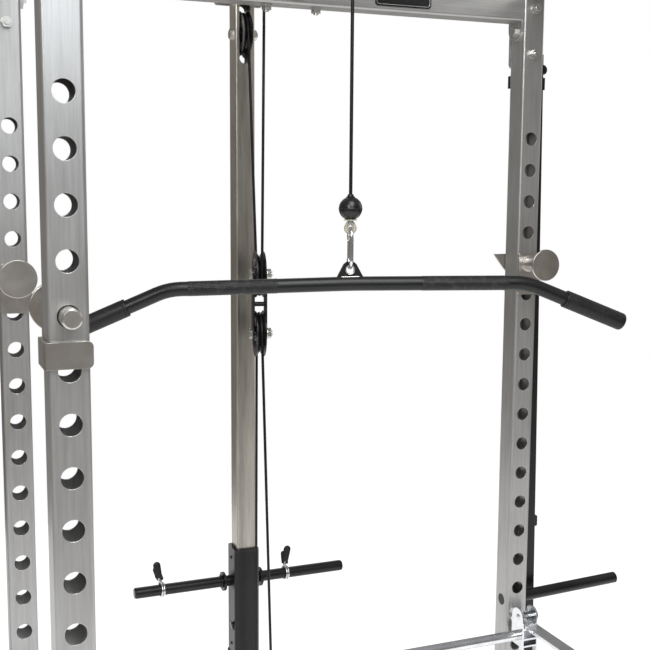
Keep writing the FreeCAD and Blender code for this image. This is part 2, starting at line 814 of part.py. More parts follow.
def carriage_sleeve():
    """The sliding sleeve, with the cable lug behind it."""
    low = sleeve_bottom_z + bush_flange
    high = sleeve_top_z
    shape = block(-sleeve_half, sleeve_half, tower_y - sleeve_half, tower_y + sleeve_half, low, high)
    shape = square_tube(shape, Z, sleeve_wall, 8.0)
    face = tower_y + sleeve_half
    lug_z = high - 40
    lug = block(-18, 18, face, face + lug_reach, lug_z, lug_z + plate)
    rib = block(-3, 3, face, face + lug_reach - 12, lug_z - 24, lug_z)
    lug = soften(lug, Z, 5.0).cut(drill(V(0, carriage_line_y, lug_z), Z, 20, 4.2))
    lug = lug.fuse(block(-18, 18, face - 0.5, face + 6, lug_z, lug_z + plate))
    rib = rib.cut(drill(V(0, carriage_line_y, lug_z), Z, 60, 8.0))
    shape = fuse_all([shape, lug, rib])
    inside = tower_y + sleeve_half - sleeve_wall
    return shape.cut(block(-20, 20, inside - 10, inside - 0.0, lug_z - 30, lug_z + 10))


def carriage_bushes():
    """Plastic liners with a flange, pressed into both ends of the sleeve."""
    bushes = []
    inner = sleeve_half - sleeve_wall
    bore = tower_half + bush_gap
    for end, direction in ((sleeve_bottom_z, 1), (sleeve_top_z + bush_flange, -1)):
        mid = end + direction * bush_flange
        far = end + direction * (bush_flange + bush_depth)
        flange = block(-sleeve_half, sleeve_half, tower_y - sleeve_half, tower_y + sleeve_half,
                       min(end, mid), max(end, mid))
        liner = block(-inner, inner, tower_y - inner, tower_y + inner, min(end, far), max(end, far))
        core = block(-bore, bore, tower_y - bore, tower_y + bore, min(end, far) - 1, max(end, far) + 1)
        body = fuse_all([soften(flange, Z, 8.0), soften(liner, Z, 8.0 - sleeve_wall)])
        bushes.append(body.cut(soften(core, Z, tube_corner - 1)))
    return bushes


def plate_horns():
    """Two plate horns with their flanges, welded to the sides of the sleeve."""
    horns = []
    for side in (-1, 1):
        start = V(side * sleeve_half, horn_y, horn_z)
        end = V(side * horn_reach, horn_y, horn_z)
        horn = rod(horn_radius, start, end)
        flat = [e for e in horn.Edges if e.BoundBox.XLength < 0.01]
        tip = [e for e in flat if abs(e.BoundBox.XMin - end.x) < 0.01]
        horn = horn.makeChamfer(2.0, tip)
        a = side * (horn_flange_x - horn_flange_thickness / 2)
        b = side * (horn_flange_x + horn_flange_thickness / 2)
        flange = rod(horn_flange_radius, V(a, horn_y, horn_z), V(b, horn_y, horn_z))
        horns.append(fuse_all([horn, flange]))
    return horns


def carriage_cable_end():
    """A threaded terminal swaged on the cable, with a nut and a lock nut on the lug."""
    lug_z = sleeve_top_z - 40
    axis = V(0, carriage_line_y, 0)
    stud = rod(4.0, axis + Z * (lug_z - 22), axis + Z * (lug_z + 40))
    barrel = rod(5.5, axis + Z * (lug_z + 40), axis + Z * (lug_z + 70))
    under = hexagon(13.0, 6.5, axis + Z * (lug_z - 6.5), Z)
    lock = hexagon(13.0, 5.0, axis + Z * (lug_z - 12.0), Z)
    return fuse_all([stud, barrel, under, lock]), lug_z + 70


def spring_collar(side, x):
    """A spring clamp on a horn: a close coil with two handles that stand up."""
    major = horn_radius + collar_gap + collar_wire
    pitch = collar_wire * 2 + 0.3
    length = pitch * collar_turns
    turns = [ring(major + collar_wire * 0.5, horn_radius + collar_gap, length, V(-length / 2, 0, 0), X)]
    for k in range(collar_turns):
        at = -length / 2 + k * pitch
        turns.append(ring(major + collar_wire, horn_radius + collar_gap, pitch - 1.2, V(at + 0.6, 0, 0), X))
    coil = fuse_all(turns)
    handles = []
    lean_out = math.radians(collar_out_left if side < 0 else collar_out_right)
    for end, turn in ((-1, collar_handle_upright), (1, collar_handle_back)):
        up = V(0, math.sin(math.radians(turn)), math.cos(math.radians(turn)))
        base = V(end * (length / 2 - pitch / 2), 0, 0) + up * major
        along = up * math.cos(lean_out) + X * side * math.sin(lean_out)
        handles.append(rod(collar_wire - 0.7, base, base + along * collar_handle))
        grip_low = base + along * collar_grip_start
        handles.append(rod(collar_wire + 2.0, grip_low, base + along * (collar_handle + 1.5)))
    shape = fuse_all([coil] + handles)
    shape.translate(V(side * x, horn_y, horn_z))
    return shape


# ---- lat bar and hanger ----

def hang(shape):
    """Turn a piece of the hanging bar to the way it hangs."""
    shape = turned(shape, V(0, lat_y, eye_z), Z, bar_yaw)
    return shape


def tilted(shape):
    """The bar hangs a little out of level on its hook."""
    shape = turned(shape, V(0, lat_y, bar_lug_hole_z), Y, bar_tilt)
    return hang(shape)


def bar_slope():
    return math.radians(bar_bend_angle + bar_arch)


def bar_bend_point():
    return V(bar_bend_x, lat_y, bar_z - bar_bend_x * math.tan(math.radians(bar_arch)))


def bar_path(reach):
    bend = bar_bend_point()
    drop = (reach - bar_bend_x) * math.tan(bar_slope())
    left = V(-reach, lat_y, bend.z - drop)
    right = V(reach, lat_y, bend.z - drop)
    points = [left, V(-bend.x, lat_y, bend.z), V(0, lat_y, bar_z), bend, right]
    return fillet_path(points, [bar_bend_radius, bar_arch_radius, bar_bend_radius])


def lat_bar():
    """The bent tube with the lug it hangs from."""
    path = bar_path(bar_half_span - bar_grip_end)
    shape = tube_along(path, bar_radius).cut(tube_along(path, bar_radius - bar_wall))
    top = bar_lug_hole_z + bar_lug_hole + 6
    lug_points = [V(-24, 0, bar_z + bar_radius - 3), V(24, 0, bar_z + bar_radius - 3),
                  V(bar_lug_hole + 3, 0, top - 4), V(bar_lug_hole - 2, 0, top), V(-bar_lug_hole + 2, 0, top),
                  V(-bar_lug_hole - 3, 0, top - 4), V(-24, 0, bar_z + bar_radius - 3)]
    lug = Part.Face(Part.makePolygon(lug_points)).extrude(V(0, bar_lug_thickness, 0))
    lug.translate(V(0, lat_y - bar_lug_thickness / 2, 0))
    lug = lug.cut(drill(V(0, lat_y, bar_lug_hole_z), Y, 20, bar_lug_hole))
    return tilted(fuse_all([shape, lug]))


def lat_bar_grips():
    """Rubber grips over both bent ends, closed at the tip."""
    slope = bar_slope()
    bend = bar_bend_point()
    grips = []
    for side in (-1, 1):
        along = V(side * math.cos(slope), 0, -math.sin(slope))
        start_drop = (bar_grip_start - bar_bend_x) * math.tan(slope)
        start = V(side * bar_grip_start, lat_y, bend.z - start_drop)
        length = (bar_half_span - bar_grip_start) / math.cos(slope)
        end = start + along * length
        outer = rod(bar_radius + bar_grip_wall, start, end)
        rims = [e for e in outer.Edges if isinstance(e.Curve, Part.Circle)]
        far = max(rims, key=lambda e: abs(e.Curve.Center.x))
        outer = outer.makeFillet(bar_grip_end - 1.0, [far])
        inner_end = start + along * (length - bar_grip_end / math.cos(slope))
        grips.append(tilted(outer.cut(rod(bar_radius, start - along, inner_end))))
    return grips


def ball_stop():
    ball = Part.makeSphere(ball_radius, V(0, lat_y, ball_z))
    flat = ball_radius - 1.5
    ball = ball.cut(block(-40, 40, lat_y - 40, lat_y + 40, ball_z + flat, ball_z + flat + 40))
    ball = ball.cut(block(-40, 40, lat_y - 40, lat_y + 40, ball_z - flat - 40, ball_z - flat))
    top = V(0, lat_y, ball_z + flat)
    bottom = V(0, lat_y, ball_z - flat)
    upper = rod(ball_washer_radius, top, top + Z * ball_washer)
    lower = rod(ball_washer_radius, bottom, bottom - Z * ball_washer)
    return [ball, upper, lower], ball_z - flat - ball_washer, ball_z + flat + ball_washer


def cable_eye(top):
    """The eye on the end of the lat cable, with its neck up to the washer."""
    eye = Part.makeTorus(eye_major, eye_minor, V(0, lat_y, eye_z), Y)
    neck = rod(5.0, V(0, lat_y, eye_z + eye_major), V(0, lat_y, top))
    shape = fuse_all([eye, neck])
    return hang(shape)


def hook_loop():
    """Snap hook: an oval wire loop with a gap on one side, and the gate that closes it on a pin."""
    top = eye_z - eye_major + eye_minor + hook_wire + hook_play
    low = bar_lug_hole_z + bar_lug_hole - hook_wire - hook_play
    r = hook_width / 2.0
    a = V(0, lat_y - r, low + r)
    b = V(0, lat_y - r, top - r)
    c = V(0, lat_y + r, top - r)
    d = V(0, lat_y + r, low + r)
    edges = [Part.Arc(d, V(0, lat_y, low), a).toShape()]
    edges.append(Part.LineSegment(a, b).toShape())
    edges.append(Part.Arc(b, V(0, lat_y, top), c).toShape())
    pivot = c - Z * gate_pin_drop
    cheek_reach = X * (gate_cheek_gap + gate_cheek)
    loop = [tube_along(Part.Wire(edges), hook_wire)]
    for side in (-1, 1):
        inner = pivot + X * side * gate_cheek_gap
        outer = pivot + X * side * (gate_cheek_gap + gate_cheek)
        loop.append(rod(gate_cheek_radius, inner, outer))
        low_x = min(inner.x, outer.x)
        loop.append(block(low_x, low_x + gate_cheek, c.y - gate_cheek_radius, c.y + gate_cheek_radius,
                          pivot.z, c.z + 2))
    loop.append(rod(gate_pin_radius, pivot - cheek_reach, pivot + cheek_reach))
    eye_half = gate_cheek_gap - 0.3
    shank_top = pivot.z - gate_cheek_radius - 1.2
    gate = [rod(gate_radius, d + Z * 0.4, V(0, c.y, shank_top))]
    gate.append(rod(gate_cheek_radius - 0.2, pivot - X * eye_half, pivot + X * eye_half))
    gate.append(block(-eye_half, eye_half, c.y - 1.5, c.y + 1.5, shank_top - 1, pivot.z))
    bore = rod(gate_pin_radius + axle_gap, pivot - cheek_reach, pivot + cheek_reach)
    return hang(fuse_all(loop)), hang(fuse_all(gate).cut(bore)), hang(Part.Vertex(pivot)).Point


# ---- bar hooks ----

def wing_plate(y):
    """The keeper behind the upright: a flat plate on the pin with one pointed wing."""
    outline = [V(wing_reach, y, wing_tip_high), V(-wing_half, y, wing_tip_high), V(-wing_half, y, -wing_half),
               V(wing_half, y, -wing_half), V(wing_half + 8, y, wing_tip_low),
               V(wing_reach, y, wing_tip_high)]
    return Part.Face(Part.makePolygon(outline)).extrude(V(0, -wing_thickness, 0))


def bar_hook(x, y, inward):
    """A hook pinned through an upright, its peg on the inward side, +1 or -1. Rear ones have a keeper."""
    face = half + bar_hook_play
    out = face + bar_hook_plate
    pin_end = half + bar_hook_pin_out
    back = block(-half, half, face, out, -bar_hook_below, bar_hook_above)
    back = soften(back, Y, 6.0)
    pin = rod(bar_hook_pin, V(0, out, 0), V(0, -pin_end, 0))
    tip = [e for e in pin.Edges if e.BoundBox.YMax < -pin_end + 0.1]
    pin = pin.makeChamfer(2.0, tip)
    disc_y = out + bar_hook_peg_length
    peg = rod(bar_hook_peg, V(0, face, 0), V(0, disc_y, 0))
    disc = rod(bar_hook_disc, V(0, disc_y, 0), V(0, disc_y + bar_hook_disc_thickness, 0))
    rims = [e for e in disc.Edges if isinstance(e.Curve, Part.Circle)]
    disc = disc.makeFillet(1.2, rims)
    side = block(-out, -face, -out, out, -band_bottom, -band_top)
    front = block(-out, half + band_end, -out, -face, -band_bottom, -band_top)
    ends = [e for e in front.Edges if is_along(e, Y) and e.BoundBox.XMin > 0]
    front = front.makeFillet(7.0, ends)
    back_band = block(-out, 0, face, out, -band_bottom, -band_top)
    pieces = [back, pin, peg, disc, side, front, back_band]
    if inward < 0:
        pieces.append(wing_plate(-half - bar_hook_play))
    shape = fuse_all(pieces)
    corners = [e for e in shape.Edges if is_along(e, Z) and e.BoundBox.XMax < -out + 0.1]
    shape = shape.makeFillet(4.0, corners)
    if inward < 0:
        shape.rotate(V(0, 0, 0), Z, 180)
    shape.translate(V(x, y, hook_z))
    return shape


# ---- safety bars ----

def bracket_ear(side):
    """A round-topped ear with a narrow leg at its front edge."""
    outer = side * bracket_width / 2
    inner = side * (bracket_width / 2 - bracket_plate)
    low_x = min(outer, inner)
    high_x = max(outer, inner)
    back = half + bracket_standoff
    front = back + bracket_depth
    ear = block(low_x, high_x, back, front, bracket_pin_z - bracket_bottom, stop_rod_z)
    top = rod(bracket_depth / 2, V(low_x, stop_rod_y, stop_rod_z), V(high_x, stop_rod_y, stop_rod_z))
    leg = block(low_x, high_x, front - bracket_leg_depth, front, bracket_pin_z - bracket_leg, safety_top)
    return fuse_all([ear, top, leg])


def safety_bracket(x, y, inward):
    """Two ears with a stop rod, a seat, a shelf and a bottom plate, on a pin through the upright."""
    inner = bracket_width / 2 - bracket_plate
    back = half + bracket_standoff
    front = back + bracket_depth
    seat_z = safety_top - safety_thickness
    shelf_z = bracket_pin_z - bracket_shelf
    bottom_z = bracket_pin_z - bracket_bottom
    seat = block(-inner, inner, back, front, seat_z - bracket_plate, seat_z)
    shelf = block(-inner, inner, back, front, shelf_z - bracket_plate, shelf_z)
    bottom = block(-inner, inner, back, front, bottom_z, bottom_z + bracket_plate)
    wall = block(-inner, inner, back, back + bracket_plate, bottom_z, bracket_pin_z + bar_hook_pin + 2)
    reach = V(bracket_width / 2 + nut_height / 2, 0, 0)
    at = V(0, stop_rod_y, stop_rod_z)
    stop = rod(stop_rod_radius, at - reach, at + reach)
    nuts = []
    for side in (-1, 1):
        base = at + X * side * bracket_width / 2
        nuts.append(hexagon(stop_rod_nut, nut_height / 2 - 1, base, X * side))
    pin_back = V(0, back + bracket_plate / 2, bracket_pin_z)
    pin = rod(bar_hook_pin, pin_back, V(0, -half - bracket_pin_past, bracket_pin_z))
    collar = rod(bar_hook_pin + 6, V(0, back, bracket_pin_z), V(0, half, bracket_pin_z))
    shape = fuse_all([bracket_ear(-1), bracket_ear(1), seat, shelf, bottom, wall, stop, pin, collar] + nuts)
    if inward < 0:
        shape.rotate(V(0, 0, 0), Z, 180)
    shape.translate(V(x, y, 0))
    return shape


def safety_bar(x):
    """A flat bar that drops on to the seats between the two stop rods."""
    end = stop_rod_radius + safety_end_gap
    width = bracket_width / 2 - bracket_plate - safety_side_gap
    front_end = front_y + stop_rod_y + end
    rear_end = rear_y - stop_rod_y - end
    bar = block(x - width, x + width, front_end, rear_end, safety_top - safety_thickness, safety_top)
    return soften(bar, Y, safety_corner)


def rear_cross_tube():
    reach = side_x - bracket_width / 2
    y = rear_y - stop_rod_y
    z = stop_rod_z - cross_tube_below
    return pipe(cross_tube_radius, cross_tube_wall, V(-reach, y, z), V(reach, y, z))


# ---- plate storage ----

def storage_horn(side):
    """A peg through the upright's side holes, tilted up a little outside."""
    start = V(side * (inner_x + 0.5), rear_y, side_hole_z)
    face = V(side * (side_x + half), rear_y, side_hole_z)
    tilt = math.radians(peg_tilt)
    along = V(side * math.cos(tilt), 0, math.sin(tilt))
    seat = peg_flange_radius * math.tan(tilt) + 0.1
    stub = rod(peg_radius, start, face + X * side * (seat + peg_flange / 2))
    flange = rod(peg_flange_radius, face + along * seat, face + along * (seat + peg_flange))
    outer = rod(peg_radius, face + along * (seat + peg_flange / 2), face + along * peg_out)
    return fuse_all([stub, flange, outer])


def rear_strut(side):
    """A leaning strut behind a rear upright, between its base rail and the top of the cage."""
    y = rear_y + half + plate
    x = side_x + strut_top_x
    length = strut_top_z - rail_top
    outer = x + strut_side / 2
    shape = block(x - strut_side / 2, outer, y, y + strut_side, strut_top_z - length, strut_top_z)
    shape = square_tube(shape, Z, strut_wall, 3.0)
    shape = turned(shape, V(x, y, strut_top_z), Y, -strut_lean)
    below = block(0, 2 * side_x, y - 50, y + 100, -50, rail_top)
    return shape.cut(below), x, y


def strut_with_tabs(side):
    """The strut with the tab that ties its top to the rear upright and its foot to the base rail."""
    shape, x, y = rear_strut(side)
    tab_z = strut_top_z - strut_tab_drop
    outer = x + strut_side / 2
    tab = block(side_x - half, outer, y - plate, y, tab_z - strut_tab_half, tab_z + strut_tab_half)
    tab = tab.cut(drill(V(side_x + strut_top_x, y, tab_z), Y, 20, bolt_radius + bolt_play))
    lean = math.tan(math.radians(strut_lean)) * (strut_top_z - rail_top)
    foot_edge = outer + lean
    foot_y = rear_y + foot_length / 2 + 1
    sole = block(side_x + half + 0.5, foot_edge, y, foot_y + strut_side, rail_top, foot_top)
    toe = block(side_x - half, side_x + half + 1, foot_y, foot_y + strut_side, rail_top, foot_top)
    toe = toe.cut(drill(V(side_x, foot_y + strut_side / 2, foot_top), Z, plate * 2))
    tab = tab.cut(drill(V(side_x, y, tab_z), Y, 20))
    lug_x = outer + math.tan(math.radians(strut_lean)) * (strut_top_z - strut_lug_z)
    lug_y = y + strut_side / 2
    lug_half = strut_lug_width / 2
    lug = block(lug_x - strut_wall, lug_x + strut_lug_reach, lug_y - lug_half, lug_y + lug_half,
                strut_lug_z - strut_lug_height / 2, strut_lug_z + strut_lug_height / 2)
    lug_corners = [e for e in lug.Edges if is_along(e, Y) and e.BoundBox.XMin > lug_x]
    shape = fuse_all([shape, tab, sole, toe, lug.makeFillet(3.0, lug_corners)])
    if side < 0:
        shape = mirrored(shape)
    return shape


def strut_knob(side):
    """A round plastic knob on the strut's top tab, facing forward."""
    y = rear_y + half + plate
    at = V(side * (side_x + strut_top_x), y, strut_top_z - knob_drop)
    body = rod(knob_radius, at, at - Y * knob_length)
    rims = [e for e in body.Edges if isinstance(e.Curve, Part.Circle) and e.Curve.Center.y < y - 1]
    return body.makeFillet(5.0, rims)


def build():
    os.makedirs("parts", exist_ok=True)

    save("upright_front_left", upright(-side_x, front_y, -1))
    save("upright_front_right", upright(side_x, front_y, 1))
    save("upright_rear_left", upright(-side_x, rear_y, -1))
    save("upright_rear_right", upright(side_x, rear_y, 1))
    save("base_rails", [base_rail(-side_x), base_rail(side_x)])
    save("base_rear_crossmember", [base_rear_crossmember()])
    save("tower_base", [tower_base()])
    save("tower", tower())
    save("carriage_bumper", [carriage_bumper()])
    save("top_rails", [top_rail(-side_x), top_rail(side_x)])
    save("rear_top_crossmember", [rear_top_crossmember()])
    save("pull_up_bar", [pull_up_bar()])
    save("label_plate", [label_plate()])
    save("lat_boom", [lat_boom()])
    save("boom_clamp_plate", [clamp_plate(tower_y + tower_half)])
    save("end_caps", end_caps())
    save("floor_pads", floor_pads())
    bolts, nuts = frame_fasteners()
    save("frame_bolts", bolts)
    save("frame_nuts", nuts)

    front_pulley = V(0, boom_front_pulley_y, boom_axis_z)
    rear_pulley = V(0, boom_rear_pulley_y, boom_axis_z)
    high_pulley = V(0, tower_y, tower_pulley_z)
    low = V(0, low_y, low_pulley_z)
    save("boom_front_pulley", [pulley(front_pulley)])
    save("boom_rear_pulley", [pulley(rear_pulley)])
    save("tower_pulley", [pulley(high_pulley)])
    save("low_pulley", [pulley(low)])
    save("block_upper_pulley", [twist(pulley(V(0, block_line_y, block_upper_z)))])
    save("block_lower_pulley", [twist(pulley(V(0, block_line_y, block_lower_z)))])
    axles = axle_set(front_pulley, half, half - tube_wall) + axle_set(rear_pulley, half, half - tube_wall)
    axles += axle_set(high_pulley, tower_half, tower_half - tube_wall)
    low_inside = hub_width / 2 + strap_gap
    axles += axle_set(low, low_inside + low_bracket_plate, low_inside)
    save("pulley_axles", axles)
    save("low_pulley_bracket", [low_pulley_bracket()])
    straps, block_axles = pulley_block()
    save("block_straps", straps)
    save("block_axles", block_axles)

    over_tower, tower_start = tower_cable()
    save("cable_turns", [boom_cable(), over_tower, low_turn()])
    stops, stop_bottom, stop_top = ball_stop()
    save("cable_lat_run", [rod(cable_radius, V(0, lat_y, stop_top), V(0, lat_y, boom_axis_z))])
    terminal, terminal_top = carriage_cable_end()
    carriage_end = V(0, carriage_line_y, terminal_top)
    carriage_run = rod(cable_radius, carriage_end, V(0, carriage_line_y, tower_pulley_z))
    save("cable_carriage_run", [carriage_run])
    gap = Z * 0.3
    split = V(0, boom_rear_pulley_y + pitch_radius, runs_split_z)
    front_run = rod(cable_radius, block_side(block_upper_z, -1) + gap, split - gap)
    rear_run = rod(cable_radius, block_side(block_upper_z, 1) + gap, tower_start - gap)
    save("cable_block_runs", [front_run, rear_run])
    low_front = rod(cable_radius, low + Y * pitch_radius + gap, block_side(block_lower_z, -1) - gap)
    anchor_top = V(0, anchor_line_y, low_pulley_z)
    low_rear = rod(cable_radius, anchor_top + gap, block_side(block_lower_z, 1) - gap)
    save("cable_low_runs", [low_front, low_rear])
    save("cable_block_turns", [block_turn(block_upper_z, False), block_turn(block_lower_z, True)])

    save("carriage_sleeve", [carriage_sleeve()])
    save("carriage_bushes", carriage_bushes())
    save("plate_horns", plate_horns())
    save("carriage_cable_end", [terminal])
    save("spring_collar_left", [spring_collar(-1, collar_x_left)])
    save("spring_collar_right", [spring_collar(1, collar_x_right)])

    save("ball_stop", stops)
    save("cable_eye", [cable_eye(stop_bottom)])
    loop, gate, gate_pivot = hook_loop()
    print("gate pivot", gate_pivot)
    save("snap_hook", [loop])
    save("snap_gate", [gate])
    save("lat_bar", [lat_bar()])
    save("lat_bar_grips", lat_bar_grips())

    tail_z = low_pulley_z - pitch_radius
    tail_end = V(0, low_y - low_tail, tail_z)
    save("cable_low_tail", [rod(cable_radius, V(0, low_y - 0.3, tail_z), tail_end)])
    low_ball = Part.makeSphere(ball_radius - 6, tail_end - Y * (ball_radius - 7))
    save("low_ball_stop", [low_ball.cut(rod(cable_radius, tail_end + Y * 5, tail_end))])

    save("bar_hook_front_left", [bar_hook(-side_x, front_y, 1)])
    save("bar_hook_front_right", [bar_hook(side_x, front_y, 1)])
    save("bar_hook_rear_left", [bar_hook(-side_x, rear_y, -1)])
    save("bar_hook_rear_right", [bar_hook(side_x, rear_y, -1)])

    brackets = []
    for x in (-side_x, side_x):
        brackets.append(safety_bracket(x, front_y, 1))
        brackets.append(safety_bracket(x, rear_y, -1))
    save("safety_brackets", brackets)
    save("safety_bar_left", [safety_bar(-side_x)])
    save("safety_bar_right", [safety_bar(side_x)])
    save("rear_cross_tube", [rear_cross_tube()])
    save("storage_horns", [storage_horn(-1), storage_horn(1)])
    save("rear_struts", [strut_with_tabs(-1), strut_with_tabs(1)])
    save("strut_knobs", [strut_knob(-1), strut_knob(1)])


build()
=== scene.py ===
import json
import math

import bpy
from mathutils import Matrix, Vector


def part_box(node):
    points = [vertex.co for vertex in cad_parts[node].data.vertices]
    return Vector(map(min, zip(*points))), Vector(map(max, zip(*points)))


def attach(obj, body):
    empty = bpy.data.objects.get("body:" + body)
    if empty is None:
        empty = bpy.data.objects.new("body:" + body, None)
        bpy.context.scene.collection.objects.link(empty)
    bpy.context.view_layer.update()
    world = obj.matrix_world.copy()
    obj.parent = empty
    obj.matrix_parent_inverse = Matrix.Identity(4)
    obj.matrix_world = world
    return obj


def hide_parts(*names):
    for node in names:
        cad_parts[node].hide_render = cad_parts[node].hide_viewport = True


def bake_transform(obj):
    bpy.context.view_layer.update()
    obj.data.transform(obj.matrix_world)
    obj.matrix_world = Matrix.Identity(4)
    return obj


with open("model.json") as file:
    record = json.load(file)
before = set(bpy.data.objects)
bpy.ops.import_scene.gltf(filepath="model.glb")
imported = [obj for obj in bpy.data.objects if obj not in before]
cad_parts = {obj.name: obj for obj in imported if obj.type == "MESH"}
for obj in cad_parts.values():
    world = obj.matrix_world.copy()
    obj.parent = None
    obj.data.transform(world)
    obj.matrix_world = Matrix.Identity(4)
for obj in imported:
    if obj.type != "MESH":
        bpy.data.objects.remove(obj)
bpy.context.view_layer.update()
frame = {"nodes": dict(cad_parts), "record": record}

print("frame loaded:", len(frame["nodes"]), "parts")

xAxis = Vector((1, 0, 0))
yAxis = Vector((0, 1, 0))
zAxis = Vector((0, 0, 1))


class Value:
    # an output socket that takes part in sums
    def __init__(self, owner, socket):
        self.owner = owner
        self.socket = socket

    def maths(self, operation, first, second):
        return self.owner.node("ShaderNodeMath", {"operation": operation}, {0: first, 1: second})

    def __add__(self, other):
        return self.maths("ADD", self, other)

    def __radd__(self, other):
        return self.maths("ADD", other, self)

    def __sub__(self, other):
        return self.maths("SUBTRACT", self, other)

    def __rsub__(self, other):
        return self.maths("SUBTRACT", other, self)

    def __mul__(self, other):
        return self.maths("MULTIPLY", self, other)

    def __rmul__(self, other):
        return self.maths("MULTIPLY", other, self)


class NodeTree:
    # the nodes of one material or of the sky
    def __init__(self, tree):
        self.tree = tree
        self.tree.nodes.clear()

    def feed(self, socket, value):
        if isinstance(value, Value):
            self.tree.links.new(value.socket, socket)
        else:
            socket.default_value = value

    def node(self, kind, settings=None, sockets=None, output=0):
        made = self.tree.nodes.new(kind)
        for name, value in (settings or {}).items():
            if name == "stops":
                self.setStops(made.color_ramp, value)
            else:
                setattr(made, name, value)
        for name, value in (sockets or {}).items():
            self.feed(made.inputs[name], value)
        if len(made.outputs) > 0:        # the last node of a tree has none
            return Value(self, made.outputs[output])

    def setStops(self, ramp, stops):
        # each stop is a place and a grey or a colour
        while len(ramp.elements) < len(stops):
            ramp.elements.new(0.5)
        for element, (place, shade) in zip(ramp.elements, stops):
            element.position = place
            element.color = shade if isinstance(shade, tuple) else colour(shade, shade, shade)

    def ramp(self, value, *stops):
        return self.node("ShaderNodeValToRGB", {"stops": stops}, {"Fac": value}, "Color")


class Finish(NodeTree):
    # one material, its shader and the nodes that feed it
    def __init__(self, name):
        self.material = bpy.data.materials.new(name)
        self.material.use_nodes = True
        super().__init__(self.material.node_tree)
        shader = self.node("ShaderNodeBsdfPrincipled")
        self.shader = shader.socket.node
        self.node("ShaderNodeOutputMaterial", {}, {"Surface": shader})
        self.place = self.node("ShaderNodeTexCoord", output="Object")

    def stretched(self, stretch):
        sockets = {0: self.place, 1: stretch}
        return self.node("ShaderNodeVectorMath", {"operation": "MULTIPLY"}, sockets)

    def noise(self, scale, detail=3.0, stretch=(1, 1, 1), roughness=0.5):
        vector = self.stretched(stretch)
        sockets = {"Vector": vector, "Scale": scale, "Detail": detail, "Roughness": roughness}
        return self.node("ShaderNodeTexNoise", {}, sockets, "Fac")

    def mixed(self, mask, first, second):
        # 6 and 7 are the node's colour inputs, 2 its colour output
        sockets = {0: mask, 6: first, 7: second}
        return self.node("ShaderNodeMix", {"data_type": "RGBA"}, sockets, 2)

    def rounded(self, radius):
        return self.node("ShaderNodeBevel", {"samples": 4}, {"Radius": radius})

    def edges(self, radius):
        # 1 where the surface turns within the radius, 0 on flats
        flat = self.node("ShaderNodeNewGeometry", output="Normal")
        sockets = {0: self.rounded(radius), 1: flat}
        facing = self.node("ShaderNodeVectorMath", {"operation": "DOT_PRODUCT"}, sockets, "Value")
        return self.ramp(1 - facing, (0.01, 0.0), (0.12, 1.0))

    def bump(self, height, depth, normal=None):
        sockets = {"Height": height, "Distance": depth, "Strength": 1.0}
        if normal is not None:
            sockets["Normal"] = normal
        return self.node("ShaderNodeBump", {}, sockets)

    def wear(self, **sockets):
        # sockets by name, with underscores for spaces
        for name, value in sockets.items():
            self.feed(self.shader.inputs[name.replace("_", " ")], value)
        return self.material


def colour(red, green, blue):
    return (red, green, blue, 1)


def steelTube(name, grain, look):
    # satin coated tube: fine lines along the tube, cloudy patches, brighter rubbed edges
    finish = Finish(name)
    along = tuple(1.0 if axis == grain else look["streak"] for axis in range(3))
    lines = finish.noise(scale=9.0, detail=6.0, stretch=along, roughness=0.65)
    clouds = finish.noise(scale=5.0, detail=3.0)
    specks = finish.noise(scale=1400.0, detail=1.0)
    turned = finish.edges(radius=0.0016)
    rubbed = turned * finish.ramp(finish.noise(scale=60.0, detail=4.0), (0.35, 0.2), (0.65, 1.0))
    patches = finish.ramp(lines * 0.6 + clouds * 0.4, (0.38, 0.0), (0.62, 1.0))
    tone = finish.mixed(patches, look["low"], look["high"])
    roughness = look["roughness"] + 0.10 * (lines - 0.5) + 0.08 * (clouds - 0.5) - 0.08 * rubbed
    height = lines * 0.6 + specks * 0.4
    return finish.wear(
        Base_Color=finish.mixed(rubbed, tone, look["edge"]),
        Metallic=look["metallic"],
        Roughness=roughness,
        Normal=finish.bump(height, depth=0.00005, normal=finish.rounded(radius=0.0009)))


satinLook = {
    "low": colour(0.42, 0.415, 0.405),
    "high": colour(0.53, 0.53, 0.525),
    "edge": colour(0.80, 0.80, 0.80),
    "roughness": 0.36,
    "metallic": 0.85,
    "streak": 24.0,        # how much finer the lines are across the tube
}
towerLook = {
    "low": colour(0.44, 0.41, 0.365),
    "high": colour(0.62, 0.59, 0.53),
    "edge": colour(0.66, 0.64, 0.60),
    "roughness": 0.33,
    "metallic": 1.0,
    "streak": 14.0,
}


def brightMetal(name, look):
    # plated metal with handling smears and fine grit
    finish = Finish(name)
    smears = finish.noise(scale=26.0, detail=5.0, roughness=0.6)
    grit = finish.noise(scale=900.0, detail=2.0)
    rubbed = finish.edges(radius=0.0012)
    tone = finish.mixed(finish.ramp(smears, (0.35, 0.0), (0.7, 1.0)), look["low"], look["high"])
    roughness = look["roughness"] + look["smear"] * (smears - 0.4) - 0.03 * rubbed
    return finish.wear(
        Base_Color=finish.mixed(rubbed * 0.6, tone, look["edge"]),
        Metallic=1.0,
        Roughness=roughness,
        Normal=finish.bump(grit, depth=look["grit"], normal=finish.rounded(radius=0.0006)))


